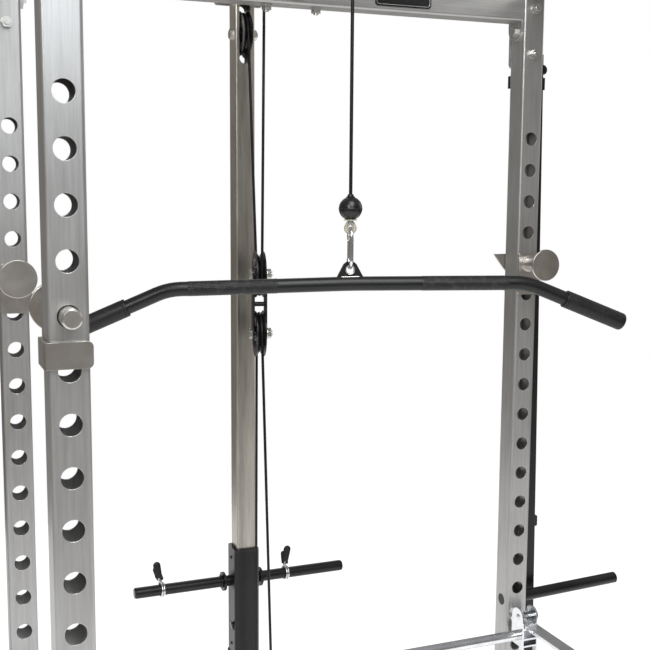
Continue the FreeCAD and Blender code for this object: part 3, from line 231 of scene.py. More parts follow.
chromeLook = {
    "low": colour(0.72, 0.73, 0.75),
    "high": colour(0.84, 0.85, 0.86),
    "edge": colour(0.92, 0.92, 0.92),
    "roughness": 0.2,
    "smear": 0.10,
    "grit": 0.000008,
}
zincLook = {
    "low": colour(0.52, 0.51, 0.48),
    "high": colour(0.72, 0.71, 0.69),
    "edge": colour(0.88, 0.87, 0.85),
    "roughness": 0.30,
    "smear": 0.14,
    "grit": 0.00003,
}
nickelLook = {
    "low": colour(0.50, 0.475, 0.44),
    "high": colour(0.64, 0.615, 0.58),
    "edge": colour(0.86, 0.84, 0.80),
    "roughness": 0.31,
    "smear": 0.12,
    "grit": 0.00004,
}


def powderCoat(name, look):
    # black powder coat: orange peel, dull handled patches, grey rub marks on edges
    finish = Finish(name)
    peel = finish.noise(scale=650.0, detail=2.0)
    patches = finish.noise(scale=14.0, detail=5.0, roughness=0.6)
    marks = finish.noise(scale=70.0, detail=6.0, stretch=(1, 9, 1), roughness=0.75)
    scratches = finish.ramp(marks, (0.66, 0.0), (0.72, 1.0))
    turned = finish.edges(radius=0.0014)
    rubbed = turned * finish.ramp(finish.noise(scale=90.0, detail=5.0), (0.5, 0.0), (0.62, 1.0))
    tone = finish.mixed(finish.ramp(patches, (0.3, 0.0), (0.7, 1.0)), look["low"], look["high"])
    tone = finish.mixed(scratches * 0.25, tone, look["scratch"])
    return finish.wear(
        Base_Color=finish.mixed(rubbed * 0.5, tone, look["edge"]),
        Roughness=look["roughness"] + 0.16 * (patches - 0.4) + 0.12 * scratches,
        Specular_IOR_Level=0.4,
        Normal=finish.bump(peel, depth=0.00006, normal=finish.rounded(radius=0.0009)))


coatLook = {
    "low": colour(0.005, 0.005, 0.0055),
    "high": colour(0.011, 0.011, 0.012),
    "scratch": colour(0.05, 0.05, 0.052),
    "edge": colour(0.13, 0.13, 0.13),
    "roughness": 0.32,
}


def mouldedPlastic(name, look):
    # injection moulded plastic with a fine even grain and faint flow marks
    finish = Finish(name)
    spark = finish.noise(scale=1100.0, detail=2.0)
    flow = finish.noise(scale=20.0, detail=4.0, stretch=(1, 1, 4))
    rubbed = finish.edges(radius=0.001)
    tone = finish.mixed(finish.ramp(flow, (0.3, 0.0), (0.7, 1.0)), look["low"], look["high"])
    return finish.wear(
        Base_Color=tone,
        Roughness=look["roughness"] + 0.12 * (flow - 0.5) - 0.06 * rubbed,
        Normal=finish.bump(spark, depth=look["grain"], normal=finish.rounded(radius=0.0008)))


plasticLook = {
    "low": colour(0.004, 0.004, 0.0045),
    "high": colour(0.010, 0.010, 0.0105),
    "roughness": 0.27,
    "grain": 0.00002,
}


def rubberSkin(name, look):
    # matt rubber with a patchy film of dust
    finish = Finish(name)
    film = finish.noise(scale=45.0, detail=6.0, roughness=0.7)
    dust = finish.ramp(film, (0.45, 0.0), (0.75, 1.0))
    pores = finish.noise(scale=800.0, detail=3.0)
    return finish.wear(
        Specular_IOR_Level=0.4,
        Base_Color=finish.mixed(dust * 0.5, look["low"], look["dust"]),
        Roughness=look["roughness"] + 0.2 * dust,
        Normal=finish.bump(pores, depth=0.00008, normal=finish.rounded(radius=0.001)))


rubberLook = {
    "low": colour(0.008, 0.008, 0.0085),
    "dust": colour(0.024, 0.0235, 0.023),
    "roughness": 0.44,
}


def cableJacket(name, look):
    # smooth jacket over a stranded core: the lay of the strands just shows
    finish = Finish(name)
    sockets = {"Vector": finish.place, "Scale": look["strands"], "Distortion": 0.3}
    lay = finish.node("ShaderNodeTexWave", {"bands_direction": "DIAGONAL"}, sockets, "Fac")
    scuffs = finish.noise(scale=40.0, detail=4.0)
    return finish.wear(
        Base_Color=finish.mixed(scuffs, look["low"], look["scuff"]),
        Roughness=look["roughness"] + 0.2 * (scuffs - 0.4),
        Specular_IOR_Level=0.3,
        Normal=finish.bump(lay, depth=0.00005))


jacketLook = {
    "low": colour(0.004, 0.004, 0.0045),
    "scuff": colour(0.012, 0.012, 0.0125),
    "roughness": 0.30,
    "strands": 130.0,
}


def creamSleeve(name, look):
    # slightly clouded plastic that has yellowed
    finish = Finish(name)
    cloud = finish.noise(scale=160.0, detail=4.0)
    tone = finish.mixed(finish.ramp(cloud, (0.3, 0.0), (0.7, 1.0)), look["low"], look["high"])
    return finish.wear(
        Base_Color=tone,
        Roughness=look["roughness"] + 0.15 * (cloud - 0.5),
        Subsurface_Weight=0.25,
        Normal=finish.bump(finish.noise(scale=500.0, detail=2.0), depth=0.00005))


creamLook = {
    "low": colour(0.40, 0.38, 0.31),
    "high": colour(0.54, 0.52, 0.44),
    "roughness": 0.32,
}

finishes = {
    "tubeX": steelTube("satinTubeAcross", 0, satinLook),
    "tubeY": steelTube("satinTubeDeep", 1, satinLook),
    "tubeZ": steelTube("satinTubeUpright", 2, satinLook),
    "towerZ": steelTube("brushedTower", 2, towerLook),
    "chrome": brightMetal("chrome", chromeLook),
    "zinc": brightMetal("zincPlate", zincLook),
    "hook_nickel": brightMetal("satinNickel", nickelLook),
    "black_coat": powderCoat("blackCoat", coatLook),
    "black_plastic": mouldedPlastic("blackPlastic", plasticLook),
    "rubber": rubberSkin("rubber", rubberLook),
    "cable_jacket": cableJacket("cableJacket", jacketLook),
    "cream": creamSleeve("creamSleeve", creamLook),
}


def finishFor(node, slot):
    low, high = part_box(node)
    size = high - low
    if slot == "tower_brushed":
        return finishes["towerZ"]
    if slot == "frame_satin":
        longest = max(range(3), key=lambda axis: size[axis])
        return finishes[("tubeX", "tubeY", "tubeZ")[longest]]
    return finishes[slot]


for row in frame["record"]["subparts"]:
    part = frame["nodes"][row["node"]]
    for place in part.material_slots:
        place.material = finishFor(row["node"], row["material_slot"])
print("finishes made:", len(finishes))


def middle(node):
    low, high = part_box(node)
    return (low + high) / 2


def addPiece(name, vertices, faces, finish, body, slot, hides=(), sharp=38.0):
    mesh = bpy.data.meshes.new(name)
    mesh.from_pydata([tuple(v) for v in vertices], [], faces)
    mesh.validate()
    mesh.update()
    mesh.materials.append(finishes[finish])
    mesh.polygons.foreach_set("use_smooth", [True] * len(mesh.polygons))
    mesh.set_sharp_from_angle(angle=math.radians(sharp))
    piece = bpy.data.objects.new(name, mesh)
    bpy.context.scene.collection.objects.link(piece)
    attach(piece, body)
    if hides:
        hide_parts(*hides)


def acrossFrom(direction):
    # two directions at right angles to one another and to this one
    hint = zAxis if abs(direction.z) < 0.9 else xAxis
    first = direction.cross(hint).normalized()
    return first, direction.cross(first).normalized()


def lathe(profile, start, direction, sides=48, flatten=1.0, wide=None):
    # profile is a list of (along, radius); a radius of 0 closes an end
    # flatten squashes the rings, and wide is then their broad way
    first, second = acrossFrom(direction)
    if wide is not None:
        first = (wide - direction * wide.dot(direction)).normalized()
        second = direction.cross(first)
    vertices = []
    rings = []
    for along, radius in profile:
        centre = start + direction * along
        if radius == 0:
            rings.append([len(vertices)])
            vertices.append(centre)
            continue
        ring = []
        for k in range(sides):
            turn = math.tau * k / sides
            across = first * (radius * math.cos(turn))
            ring.append(len(vertices))
            vertices.append(centre + across + second * (radius * flatten * math.sin(turn)))
        rings.append(ring)
    return vertices, joinRings(rings)


def joinRings(rings, closed=False):
    faces = []
    pairs = list(zip(rings[:-1], rings[1:]))
    if closed:
        pairs.append((rings[-1], rings[0]))
    for a, b in pairs:
        count = max(len(a), len(b))
        for k in range(count):
            corners = [a[k % len(a)], a[(k + 1) % len(a)], b[(k + 1) % len(b)], b[k % len(b)]]
            faces.append(list(dict.fromkeys(corners)))
    return faces


def ringLathe(profile, start, direction, sides=48):
    # a profile that closes on itself, as of a washer or a race
    first, second = acrossFrom(direction)
    vertices = []
    rings = []
    for along, radius in profile:
        ring = []
        for k in range(sides):
            turn = math.tau * k / sides
            ring.append(len(vertices))
            out = first * math.cos(turn) + second * math.sin(turn)
            vertices.append(start + direction * along + out * radius)
        rings.append(ring)
    return vertices, joinRings(rings, closed=True)


def tube(points, radius, sides=12, closed=False):
    # a round tube along points; radius is a number or a function of the point's index
    vertices = []
    rings = []
    count = len(points)
    normal = None
    for i, point in enumerate(points):
        before = points[i - 1] if (i > 0 or closed) else points[i]
        after = points[(i + 1) % count] if (i < count - 1 or closed) else points[i]
        along = (after - before).normalized()
        if normal is None:
            normal, _ = acrossFrom(along)
        normal = (normal - along * normal.dot(along)).normalized()
        side = along.cross(normal)
        size = radius(i) if callable(radius) else radius
        ring = []
        for k in range(sides):
            turn = math.tau * k / sides
            out = normal * (size * math.cos(turn))
            ring.append(len(vertices))
            vertices.append(point + out + side * (size * math.sin(turn)))
        rings.append(ring)
    faces = joinRings(rings, closed)
    if not closed:
        faces.append(list(reversed(rings[0])))
        faces.append(rings[-1])
    return vertices, faces


def smoothRoute(points, step):
    # a Catmull-Rom curve through the points
    route = []
    padded = [points[0] * 2 - points[1]] + points + [points[-1] * 2 - points[-2]]
    for a, b, c, d in zip(padded, padded[1:], padded[2:], padded[3:]):
        count = max(2, int((c - b).length / step))
        for k in range(count):
            t = k / count
            route.append(0.5 * ((2 * b) + (c - a) * t + (2 * a - 5 * b + 4 * c - d) * t * t
                                + (3 * b - a - 3 * c + d) * t * t * t))
    route.append(points[-1])
    return route


def merged(parts):
    # several pieces of mesh as one
    vertices = []
    faces = []
    for partVertices, partFaces in parts:
        shift = len(vertices)
        vertices += partVertices
        faces += [[index + shift for index in face] for face in partFaces]
    return vertices, faces


cameraSet = {
    "place": Vector((-0.7153, -1.6999, 1.6801)),
    "turn": 20.891,        # degrees from straight ahead, to the right
    "tip": 6.8,            # degrees down
    "roll": 0.147,
    "lens": 55.75,
    "shiftX": 0.0555,
    "shiftY": -0.0149,
    "near": 0.05,
    "far": 60,
}


def addCamera(look):
    data = bpy.data.cameras.new("camera")
    data.lens = look["lens"]
    data.shift_x = look["shiftX"]
    data.shift_y = look["shiftY"]
    data.clip_start = look["near"]
    data.clip_end = look["far"]
    camera = bpy.data.objects.new("camera", data)
    bpy.context.scene.collection.objects.link(camera)
    turn = Matrix.Rotation(math.radians(-look["turn"]), 4, "Z")
    tip = Matrix.Rotation(math.radians(90 - look["tip"]), 4, "X")
    roll = Matrix.Rotation(math.radians(look["roll"]), 4, "Z")
    camera.matrix_world = Matrix.Translation(look["place"]) @ (turn @ tip @ roll)
    bpy.context.scene.camera = camera


addCamera(cameraSet)

lightSet = {
    "key": {
        "place": (-1.9, -2.3, 2.9), "aim": (-0.3, 0.0, 1.4),
        "size": 1.0, "power": 26, "tint": (1.0, 0.99, 0.97)},
    "flash": {
        "place": (-0.35, -2.2, 2.6), "aim": (-0.45, -0.3, 1.6),
        "size": 1.2, "power": 11, "tint": (0.88, 0.94, 1.0)},
    "fill": {
        "place": (3.0, 0.2, 2.4), "aim": (0.3, 0.1, 1.2),
        "size": 1.6, "power": 8, "tint": (1.0, 0.97, 0.93)},
    "rear": {
        "place": (0.6, 3.2, 2.6), "aim": (0.0, 0.3, 1.3),
        "size": 2.0, "power": 14, "tint": (1.0, 1.0, 1.0)},
    "top": {
        "place": (-0.2, -1.6, 3.5), "aim": (0.0, 0.0, 1.3),
        "size": 1.4, "power": 42, "tint": (1.0, 1.0, 1.0)},
}


def addLight(name, look):
    data = bpy.data.lights.new(name, "AREA")
    data.size = look["size"]
    data.energy = look["power"]
    data.color = look["tint"]
    lamp = bpy.data.objects.new(name, data)
    bpy.context.scene.collection.objects.link(lamp)
    lamp.location = look["place"]
    facing = Vector(look["aim"]) - Vector(look["place"])
    lamp.rotation_euler = facing.to_track_quat("-Z", "Y").to_euler()


for lampName, lampLook in lightSet.items():
    addLight(lampName, lampLook)

skySet = {
    "seen": colour(1, 1, 1),               # behind the cage
    "low": colour(0.19, 0.176, 0.16),      # reflected from the horizon and below
    "high": colour(0.33, 0.33, 0.34),      # reflected from above
    "highFrom": 0.7,
}


def setSky(look):
    # the sky is plain to look at; what the metal reflects is darker near the horizon
    world = bpy.data.worlds.new("studio")
    bpy.context.scene.world = world
    world.use_nodes = True
    sky = NodeTree(world.node_tree)
    coords = sky.node("ShaderNodeTexCoord", output="Generated")
    height = sky.node("ShaderNodeSeparateXYZ", {}, {0: coords}, "Z")
    shade = sky.ramp(height, (0.0, look["low"]), (look["highFrom"], look["high"]))
    reflected = sky.node("ShaderNodeBackground", {}, {"Color": shade})
    plain = sky.node("ShaderNodeBackground", {}, {"Color": look["seen"]})
    direct = sky.node("ShaderNodeLightPath", output="Is Camera Ray")
    both = sky.node("ShaderNodeMixShader", {}, {"Fac": direct, 1: reflected, 2: plain})
    sky.node("ShaderNodeOutputWorld", {}, {"Surface": both})


setSky(skySet)

floorSet = {"reach": 3.4, "tone": colour(0.5, 0.5, 0.5), "roughness": 0.9, "glow": 0.86}


def addFloor(look):
    reach = look["reach"]
    corners = [(-reach, -reach, 0), (reach, -reach, 0), (reach, reach, 0), (-reach, reach, 0)]
    mesh = bpy.data.meshes.new("studioFloor")
    mesh.from_pydata(corners, [], [(0, 1, 2, 3)])
    floor = bpy.data.objects.new("studioFloor", mesh)
    bpy.context.scene.collection.objects.link(floor)
    finish = Finish("paleFloor")
    finish.wear(
        Base_Color=look["tone"],
        Roughness=look["roughness"],
        Emission_Color=colour(1, 1, 1),
        Emission_Strength=look["glow"])
    mesh.materials.append(finish.material)


addFloor(floorSet)
bpy.context.scene.view_settings.view_transform = "Standard"
print("camera, lights and floor set")


def stretchedRun(name, node, axis=2):
    # the straight cable runs of a node, copied in the cable jacket finish; the node itself is
    # hidden
    # axis is the way they run: 1 for y, 2 for z
    low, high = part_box(node)
    source = frame["nodes"][node].data
    centre = (low[axis] + high[axis]) / 2
    alongs = [v.co[axis] for v in source.vertices]
    start = min(a for a in alongs if a > centre)
    end = max(a for a in alongs if a < centre)
    mesh = source.copy()
    mesh.name = name
    mesh.materials.clear()
    mesh.materials.append(finishes["cable_jacket"])
    piece = bpy.data.objects.new(name, mesh)
    bpy.context.scene.collection.objects.link(piece)
    startPoint = Vector((0, 0, 0))
    startPoint[axis] = start
    endPoint = Vector((0, 0, 0))
    endPoint[axis] = end
    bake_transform(piece)
    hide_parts(node)


stretchedRun("latCable", "cable_lat_run")
stretchedRun("carriageCable", "cable_carriage_run")
stretchedRun("blockCables", "cable_block_runs")
stretchedRun("lowCables", "cable_low_runs")
stretchedRun("lowTail", "cable_low_tail", axis=1)
print("cable runs made")


barSet = {
    "radius": 0.0125,
    "centre": Vector((0, -0.12, 1.529)),
    "pivot": 1.553,         # height of the eyelet
    "droop": 0.75,          # of the middle, degrees
    "slope": 22.75,         # of the ends, degrees
    "yaw": -15.7,
    "tilt": -0.75,
    "bendX": 0.312,         # along the bar from its centre, like the next three
    "knurlFrom": 0.126,
    "knurlTo": 0.278,
    "gripStart": 0.382,
    "knurlPitch": 0.0024,
    "knurlHeight": 0.0004,
    "knurlProud": 0.00015,  # the diamonds' feet over the bar
    "knurlSunk": 0.0005,    # the knurl's rims inside the bar
    "gripRadius": 0.0155,
    "gripLength": 0.1165,
    "grooveAt": 0.004,
    "grooveDeep": 0.0007,
    "tipRound": 0.006,
    "tipFrom": 0.008,
}


def barTurn(point, look):
    # from the straight bar's own place to the way it hangs
    pivot = Vector((0, look["centre"].y, look["pivot"]))
    tilt = Matrix.Rotation(math.radians(look["tilt"]), 3, "Y")
    yaw = Matrix.Rotation(math.radians(look["yaw"]), 3, "Z")
    return pivot + yaw @ (tilt @ (point - pivot))


def barPoint(x, side, look):
    # the centre line, side -1 or 1, x measured outward
    drop = x * math.tan(math.radians(look["droop"]))
    return barTurn(look["centre"] + Vector((side * x, 0, -drop)), look)


def knurl(look, side):
    # raised diamonds wrapped round the bar
    start = barPoint(look["knurlFrom"], side, look)
    end = barPoint(look["knurlTo"], side, look)
    direction = (end - start).normalized()
    first, second = acrossFrom(direction)
    length = (end - start).length
    rows = int(length / look["knurlPitch"])
    sides = int(math.tau * look["radius"] / look["knurlPitch"]) // 2 * 2
    base = look["radius"] + look["knurlProud"]
    vertices = []
    faces = []

    def spot(row, column, radius):
        turn = math.tau * column / sides
        out = first * math.cos(turn) + second * math.sin(turn)
        return start + direction * (length * row / rows) + out * radius

    grid = {}
    for row in range(2 * rows + 1):
        for column in range(2 * sides):
            if (row + column) % 2 == 0:
                lift = look["knurlHeight"] if row % 2 == 1 else 0.0
                grid[row, column] = len(vertices)
                vertices.append(spot(row / 2, column / 2, base + lift))
    for row in range(1, 2 * rows, 2):
        for column in range(1, 2 * sides, 2):
            centre = grid[row, column]
            left = (column - 1) % (2 * sides)
            right = (column + 1) % (2 * sides)
            around = [grid[row - 1, left], grid[row - 1, right],
                      grid[row + 1, right], grid[row + 1, left]]
            for a, b in zip(around, around[1:] + around[:1]):
                faces.append([centre, b, a])
    rims = []
    for row, sign in ((0, -1), (2 * rows, 1)):
        inner = []
        outer = [grid[row, column] for column in range(0, 2 * sides, 2)]
        for column in range(0, 2 * sides, 2):
            inner.append(len(vertices))
            vertices.append(spot(row / 2, column / 2, look["radius"] - look["knurlSunk"]))
        rims.append(inner)
        for k in range(len(outer)):
            after = (k + 1) % len(outer)
            face = [outer[k], outer[after], inner[after], inner[k]]
            faces.append(face if sign > 0 else list(reversed(face)))
    for k in range(len(rims[0])):
        after = (k + 1) % len(rims[0])
        faces.append([rims[0][k], rims[1][k], rims[1][after], rims[0][after]])
    return vertices, faces


def gripProfile(look):
    # a straight sleeve: a square lip, a shallow groove near it and a rounded tip
    radius = look["gripRadius"]
    length = look["gripLength"]
    groove = look["grooveAt"]
    floor = radius - look["grooveDeep"]
    tip = look["tipRound"]
    profile = [(0.0, look["radius"] - 0.001), (0.0, floor), (0.0004, radius - 0.0002),
               (0.001, radius), (groove, radius), (groove + 0.0004, floor),
               (groove + 0.0012, floor), (groove + 0.0016, radius)]
    for k in range(1, 12):
        profile.append((groove + (length - look["tipFrom"] - groove) * k / 11, radius))
    for k in range(1, 9):
        turn = math.radians(90 * k / 8)
        profile.append((length - tip + tip * math.sin(turn), radius - tip + tip * math.cos(turn)))
    profile += [(length, 0.0035), (length - 0.0012, 0.003), (length - 0.0012, 0.0)]
    return profile


def barGrips(look):
    slope = math.radians(look["slope"])
    parts = []
    for side in (-1, 1):
        bend = look["bendX"] * math.tan(math.radians(look["droop"]))
        drop = bend + (look["gripStart"] - look["bendX"]) * math.tan(slope)
        start = barTurn(look["centre"] + Vector((side * look["gripStart"], 0, -drop)), look)
        further = look["gripStart"] + math.cos(slope)
        ahead = look["centre"] + Vector((side * further, 0, -drop - math.sin(slope)))
        direction = (barTurn(ahead, look) - start).normalized()
        parts.append(lathe(gripProfile(look), start, direction, 56))
    return merged(parts)


for side, label in ((-1, "Left"), (1, "Right")):
    diamonds = knurl(barSet, side)
    addPiece("knurl" + label, *diamonds, "black_coat", "lat_hanger", "black_coat", sharp=20)
addPiece("barGrips", *barGrips(barSet), "rubber", "lat_hanger", "rubber", ["lat_bar_grips"])

eyeletSet = {"bore": 0.0066, "outer": 0.0078, "lip": 0.0086, "half": 0.0035}


def eyelet(look):
    centre = Vector((0, barSet["centre"].y, barSet["pivot"]))
    axis = Matrix.Rotation(math.radians(barSet["yaw"]), 3, "Z") @ yAxis
    bore, outer, lip, half = (look[key] for key in ("bore", "outer", "lip", "half"))
    profile = [(-half - 0.0008, bore + 0.0004), (-half - 0.001, outer), (-half - 0.0004, lip),
               (-half + 0.0003, lip), (-half + 0.0003, outer), (half - 0.0003, outer),
               (half - 0.0003, lip), (half + 0.0004, lip), (half + 0.001, outer),
               (half + 0.0008, bore + 0.0004), (half - 0.001, bore), (-half + 0.001, bore)]
    return ringLathe(profile, centre, axis, 40)


lugWeldSet = {
    "half": 0.0155,
    "out": 0.0042,
    "up": 0.0121,
    "bead": 0.0012,
    "ripple": 0.22,
    "rippleTurn": 1.9,
    "steps": 30,
}


def lugWeld(look):
    # a bead along each side of the lug's foot
    def size(index):
        return look["bead"] * (1 + look["ripple"] * math.sin(index * look["rippleTurn"]))

    beads = []
    for side in (-1, 1):
        route = []
        for k in range(look["steps"] + 1):
            x = look["half"] * (2 * k / look["steps"] - 1)
            spot = barSet["centre"] + Vector((x, side * look["out"], look["up"]))
            route.append(barTurn(spot, barSet))
        beads.append(tube(route, size, 8))
    return merged(beads)


addPiece("lugWeld", *lugWeld(lugWeldSet), "zinc", "lat_hanger", "zinc")
addPiece("lugEyelet", *eyelet(eyeletSet), "zinc", "lat_hanger", "zinc")


ballSet = {
    "radius": 0.0202,
    "seam": 0.0004,
    "flatDepth": 0.0015,     # what the washers' seats take off the ball
    "bore": 0.0045,
    "steps": 40,
    "upperWasher": 0.0076,
    "lowerWasher": 0.0116,
    "washerThick": 0.0018,
    "upperNeck": 0.0032,
    "lowerNeck": 0.0008,
}


def ballProfile(look, flat):
    radius, bore, steps = look["radius"], look["bore"], look["steps"]
    profile = [(-flat, 0.0), (-flat, bore)]
    low = math.asin(flat / radius)
    for k in range(steps + 1):
        turn = -low + 2 * low * k / steps
        swell = look["seam"] if abs(turn) < low / steps * 1.5 else 0.0
        profile.append((radius * math.sin(turn), (radius + swell) * math.cos(turn)))
    profile += [(flat, bore), (flat, 0.0)]
    return profile


def washerProfile(start, radius, neck, look):
    # a washer with a short neck round the cable
    end = start + look["washerThick"]
    top = end + neck + 0.0006
    return [(start, 0.0), (start, radius - 0.0006), (start + 0.0005, radius),
            (end - 0.0005, radius), (end, radius - 0.0006), (end, 0.0056),
            (end + neck, 0.0052), (top, look["bore"]), (top, 0.0)]


def ballPieces(look):
    low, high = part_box("ball_stop")
    centre = (low + high) / 2
    flat = look["radius"] - look["flatDepth"]
    ball = lathe(ballProfile(look, flat), centre, zAxis, 64)
    addPiece("stopBall", *ball, "black_plastic", "lat_line", "black_plastic", ["ball_stop"])
    upper = washerProfile(flat, look["upperWasher"], look["upperNeck"], look)
    upper = lathe(upper, centre, zAxis, 48)
    addPiece("ballTopWasher", *upper, "black_plastic", "lat_line", "black_plastic")
    lower = washerProfile(flat, look["lowerWasher"], look["lowerNeck"], look)
    lower = lathe(lower, centre, -zAxis, 48)
    addPiece("ballLowerWasher", *lower, "cream", "lat_line", "cable_jacket")


ballPieces(ballSet)

thimbleSet = {
    "wire": 0.0036,
    "half": 0.0074,
    "point": 0.0105,        # how high the teardrop is drawn
    "pinch": 0.35,
    "rise": 0.0105,         # the loop's centre over the foot of the eye
    "steps": 44,
    "boot": 0.0078,
    "bootFlat": 0.6,
    "bootSunk": 0.0012,
}


def thimble(look):
    # a teardrop loop of sleeved cable, closed by a moulded boot at its neck
    low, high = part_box("cable_eye")
    centre = Vector((0, barSet["centre"].y, low.z + look["rise"]))
    yaw = Matrix.Rotation(math.radians(barSet["yaw"]), 3, "Z")
    half = look["half"]
    points = []
    for k in range(look["steps"]):
        turn = math.tau * k / look["steps"]
        pull = max(0.0, math.cos(turn)) ** 3
        across = half * math.sin(turn) * (1 - look["pinch"] * pull)
        upward = half * math.cos(turn) + (look["point"] - half) * pull
        points.append(centre + yaw @ Vector((across, 0, upward)))
    loop = tube(points, look["wire"], 20, closed=True)
    neck = centre.z + half - look["bootSunk"]
    top = high.z - neck
    boot = look["boot"]
    profile = [(0.0, 0.0), (0.0, boot * 0.7), (0.0009, boot * 0.94), (0.003, boot),
               (top * 0.6, boot * 0.97), (top - 0.0012, boot * 0.9), (top, boot * 0.82), (top, 0.0)]
    foot = Vector((0, centre.y, neck))
    body = lathe(profile, foot, zAxis, 40, look["bootFlat"], yaw @ xAxis)
    return merged([loop, body])


addPiece("cableThimble", *thimble(thimbleSet), "cream", "lat_hanger", "zinc", ["cable_eye"])
print("lat bar and its hanger dressed")


collarSet = {
    "horn": 0.0125,
    "wire": 0.0021,
    "gap": 0.0004,
    "turns": 2.0,
    "stepsPerTurn": 28,
    "pitch": 0.0047,
    "handleTurns": 0.17,   # what the handles' spread adds to the coil
    "kneeAlong": 0.003,
    "kneeOut": 0.004,
    "reach": 0.044,        # handle beyond the coil
    "straight": 0.008,
    "routeStep": 0.0015,
    "gripFrom": 0.010,
    "gripLength": 0.038,
    "gripWide": 0.0088,
    "gripFlat": 0.5,
    "left": {"lean": 7.0, "turns": (5.0, 58.0)},
    "right": {"lean": 14.0, "turns": (5.0, 58.0)},
}


def collarGrip(start, direction, look):
    # a flattened rubber cap with a round tip
    length = look["gripLength"]
    wide = look["gripWide"]
    profile = [(0.0, 0.0), (0.0, wide * 0.7), (0.001, wide * 0.86), (0.004, wide * 0.95),
               (length * 0.5, wide)]
    for k in range(1, 9):
        bend = math.radians(90 * k / 8)
        radius = wide * math.cos(bend) if k < 8 else 0.0
        profile.append((length - wide + wide * math.sin(bend), radius))
    return lathe(profile, start, direction, 32, look["gripFlat"], xAxis)


def springCollar(node, side, look):
    centre = middle(node)
    horn = middle("plate_horns")
    radius = look["horn"] + look["gap"] + look["wire"]
    own = look["left"] if side < 0 else look["right"]
    opening, closing = own["turns"]
    sweep = 360 * look["turns"] + closing - opening
    count = int(look["turns"] * look["stepsPerTurn"])
    coil = []
    for k in range(count + 1):
        turn = math.radians(opening + sweep * k / count)
        along = look["pitch"] * (look["turns"] + look["handleTurns"]) * (k / count - 0.5)
        y = horn.y + radius * math.sin(turn)
        z = horn.z + radius * math.cos(turn)
        coil.append(Vector((centre.x + along, y, z)))
    handles = []
    grips = []
    for angle, foot, inner in ((opening, coil[0], coil[1]), (closing, coil[-1], coil[-2])):
        turn = math.radians(angle)
        lean = math.radians(own["lean"]) * side
        out = Vector((0, math.sin(turn), math.cos(turn)))
        direction = (out * math.cos(lean) + xAxis * math.sin(lean)).normalized()
        tangent = (foot - inner).normalized()
        knee = foot + tangent * look["kneeAlong"] + direction * look["kneeOut"]
        tip = knee + direction * look["reach"]
        handles.append([knee, knee + direction * look["straight"], tip])
        grips.append(collarGrip(knee + direction * look["gripFrom"], direction, look))
    first = smoothRoute(list(reversed(handles[0])) + [coil[0]], look["routeStep"])
    last = smoothRoute([coil[-1]] + handles[1], look["routeStep"])
    wire = tube(first[:-1] + coil + last[1:], look["wire"], 14)
    label = "Left" if side < 0 else "Right"
    body = "left_collar" if side < 0 else "right_collar"
    addPiece("collarSpring" + label, *wire, "chrome", body, "chrome", [node])
    addPiece("collarGrips" + label, *merged(grips), "rubber", body, "rubber")


springCollar("spring_collar_left", -1, collarSet)
springCollar("spring_collar_right", 1, collarSet)
print("spring collars wound")


bearingSet = {
    "half": 0.011,         # the pulley's hub
    "bore": 0.0061,
    "inner": 0.0082,
    "outer": 0.0118,
    "race": 0.0016,
    "slant": 0.0003,
    "proud": 0.0003,
    "groove": 0.0006,
    "deep": 0.002,
    "blockTwist": -11.5,   # the floating block's axles, degrees
}


def bearingFace(centre, axis, look):
    # the shielded face of a ball bearing: inner race, shield and outer race
    face = look["half"] + look["proud"]
    back = look["half"] - look["deep"]
    shield = face - look["groove"]
    rim = look["outer"] + look["race"]
    profile = [(back, look["bore"]), (face, look["bore"]), (face, look["inner"]),
               (shield, look["inner"] + look["slant"]), (shield, look["outer"] - look["slant"]),
               (face, look["outer"]), (face, rim), (back, rim)]
    return ringLathe(profile, centre, axis, 48)


wheels = {
    "boom_front_pulley": "boom_front_wheel",
    "boom_rear_pulley": "boom_rear_wheel",
    "tower_pulley": "tower_wheel",
    "low_pulley": "low_wheel",
    "block_upper_pulley": "block_upper_wheel",
    "block_lower_pulley": "block_lower_wheel",
}
blockTurn = Matrix.Rotation(math.radians(bearingSet["blockTwist"]), 3, "Z")
for node, body in wheels.items():
    axis = blockTurn @ xAxis if body.startswith("block") else xAxis
    bearings = merged([bearingFace(middle(node), axis * s, bearingSet) for s in (-1, 1)])
    addPiece(node.replace("_pulley", "") + "Bearing", *bearings, "chrome", body, "chrome")
print("bearings set")


weldSet = {
    "radius": 0.0022,
    "step": 0.0011,
    "ripple": 0.16,
    "rippleLength": 0.0034,
    "footThick": 0.006,
    "tubeHalf": 0.025,
    "tubeCorner": 0.005,
    "towerHalf": 0.0225,
    "towerCorner": 0.004,
    "hornRadius": 0.0131,
    "flangeReach": 0.051,   # outer faces of the horns' flanges
}


def weldBead(route, look, closed=True):
    length = 0.0
    marks = [0.0]
    for a, b in zip(route, route[1:]):
        length += (b - a).length
        marks.append(length)

    def size(index):
        phase = (marks[index] / look["rippleLength"]) % 1.0
        return look["radius"] * (1 - look["ripple"] * phase)

    return tube(route, size, 8, closed)


def boxRoute(centre, halfA, halfB, dirA, dirB, corner, step):
    # a rounded rectangle, evenly spaced
    route = []
    for k, (a, b) in enumerate(((1, 1), (-1, 1), (-1, -1), (1, -1))):
        pivot = centre + dirA * (a * (halfA - corner)) + dirB * (b * (halfB - corner))
        for j in range(5):
            turn = math.radians(90 * k + 90 * j / 4)
            out = dirA * (corner * math.cos(turn))
            route.append(pivot + out + dirB * (corner * math.sin(turn)))
    route.append(route[0])
    spaced = []
    for a, b in zip(route, route[1:]):
        count = max(1, round((b - a).length / step))
        spaced += [a.lerp(b, j / count) for j in range(count)]
    return spaced


def circleRoute(centre, radius, axis, step):
    first, second = acrossFrom(axis)
    count = max(12, round(math.tau * radius / step))
    turns = [math.tau * k / count for k in range(count)]
    return [centre + first * (radius * math.cos(turn)) + second * (radius * math.sin(turn))
            for turn in turns]


